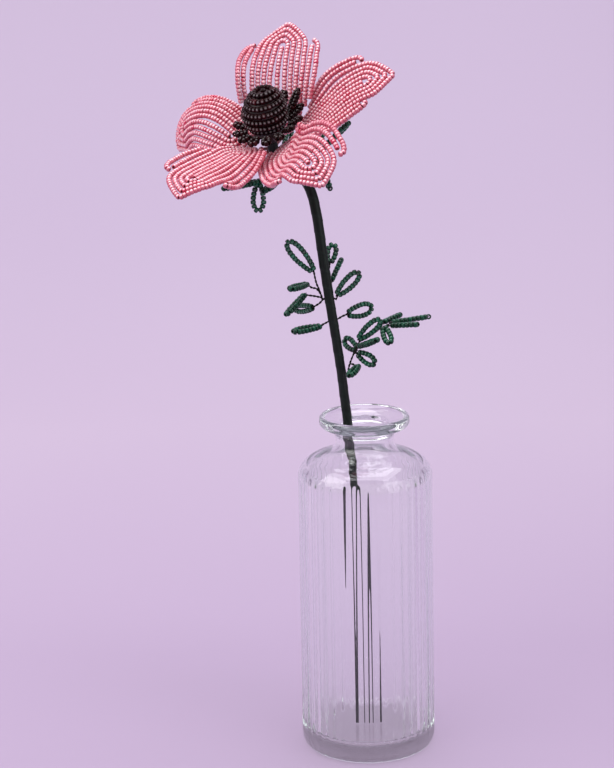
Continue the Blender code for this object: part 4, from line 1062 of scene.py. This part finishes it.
def add_placed(name, data, place, right, up, forward):
    """A light or a camera at a place, looking forward."""
    obj = bpy.data.objects.new(name, data)
    matrix = Matrix.Identity(4)
    for row in range(3):
        matrix[row][0], matrix[row][1], matrix[row][2] = right[row], up[row], -forward[row]
        matrix[row][3] = place[row] * MM
    obj.matrix_world = matrix
    bpy.context.scene.collection.objects.link(obj)
    return obj


def add_light(name, place, target, size, power, colour):
    data = bpy.data.lights.new(name, "AREA")
    data.energy = power
    data.color = colour
    data.shape = "RECTANGLE"
    data.size, data.size_y = size
    look = unit(np.array(target) - np.array(place))
    side = unit(np.cross(look, (0.0, 0.0, 1.0)))
    add_placed(name, data, place, side, np.cross(side, look), look)


def make_backdrop():
    """A sheet of paper that lies under the bottle and sweeps up behind it."""
    mat, tree, shader = new_material("backdrop_paper", {"Roughness": 0.9, "Specular IOR Level": 0.1})
    place = object_place(tree)
    colour = ramp(tree, noise(tree, place, {"Scale": 1.3}), PAPER)
    split = tree.nodes.new("ShaderNodeSeparateXYZ")
    tree.links.new(place, split.inputs["Vector"])
    # Painted shade, darker on the floor in front.
    shade = ramp(tree, split.outputs["Y"], PAPER_SHADE)
    tree.links.new(mixed(tree, 1.0, colour, shade, "MULTIPLY"), shader.inputs["Base Color"])
    profile = [(SWEEP_FRONT, 0.0), (SWEEP_FROM, 0.0)]
    for step in range(1, SWEEP_STEPS + 1):
        a = math.pi / 2 * step / SWEEP_STEPS
        profile.append((SWEEP_FROM + SWEEP_RADIUS * math.sin(a), SWEEP_RADIUS * (1 - math.cos(a))))
    profile.append((SWEEP_FROM + SWEEP_RADIUS, SWEEP_TOP))
    xs = np.linspace(-SWEEP_HALF, SWEEP_HALF, SWEEP_COLUMNS)
    points = np.array([(x, y, z) for y, z in profile for x in xs])
    quads = grid_quads(len(profile), SWEEP_COLUMNS, wrap_columns=False)
    floor = add_mesh("backdrop_sweep", points, quads, NO_FACES, mat)


def make_world():
    world = bpy.data.worlds.new("studio_world")
    world.use_nodes = True
    background = world.node_tree.nodes["Background"]
    set_inputs(background, {"Color": WORLD_COLOUR, "Strength": WORLD_STRENGTH})
    bpy.context.scene.world = world


def make_camera():
    data = bpy.data.cameras.new("photo_camera")
    data.lens = CAMERA_LENS
    data.sensor_width = CAMERA_SENSOR
    data.clip_start = CAMERA_NEAR
    forward = np.cross(CAMERA_UP, CAMERA_RIGHT)
    camera = add_placed("photo_camera", data, CAMERA_PLACE, CAMERA_RIGHT, CAMERA_UP, forward)
    bpy.context.scene.camera = camera


def set_view():
    """Colours as they are, and enough bounces for light to leave the glass again."""
    scene = bpy.context.scene
    scene.view_settings.view_transform = "Standard"
    scene.view_settings.look = "None"
    scene.cycles.max_bounces = LIGHT_BOUNCES
    scene.cycles.transmission_bounces = LIGHT_BOUNCES
    scene.cycles.glossy_bounces = LIGHT_BOUNCES
    scene.cycles.transparent_max_bounces = CLEAR_BOUNCES
    scene.cycles.caustics_refractive = False
    scene.cycles.caustics_reflective = False


set_view()
make_camera()
make_backdrop()
make_world()
for light in LIGHTS:
    add_light(*light)
make_bottle()
make_stem()
make_dome()
make_stamens()
for number, petal in enumerate(PETALS, start=1):
    make_petal(number, petal)
for number, (loops, wire_lines) in enumerate(zip(BRACTS, BRACT_WIRES), start=1):
    make_spray(f"bract_{number}", f"bract_{number}", loops, wire_lines)
make_spray("leaves_upper", "leaf_spray_upper", UPPER_LOOPS, UPPER_WIRES)
make_spray("leaves_middle", "leaf_spray_middle", MIDDLE_LOOPS, MIDDLE_WIRES)
make_spray("leaves_lower", "leaf_spray_lower", LOWER_LOOPS, LOWER_WIRES)
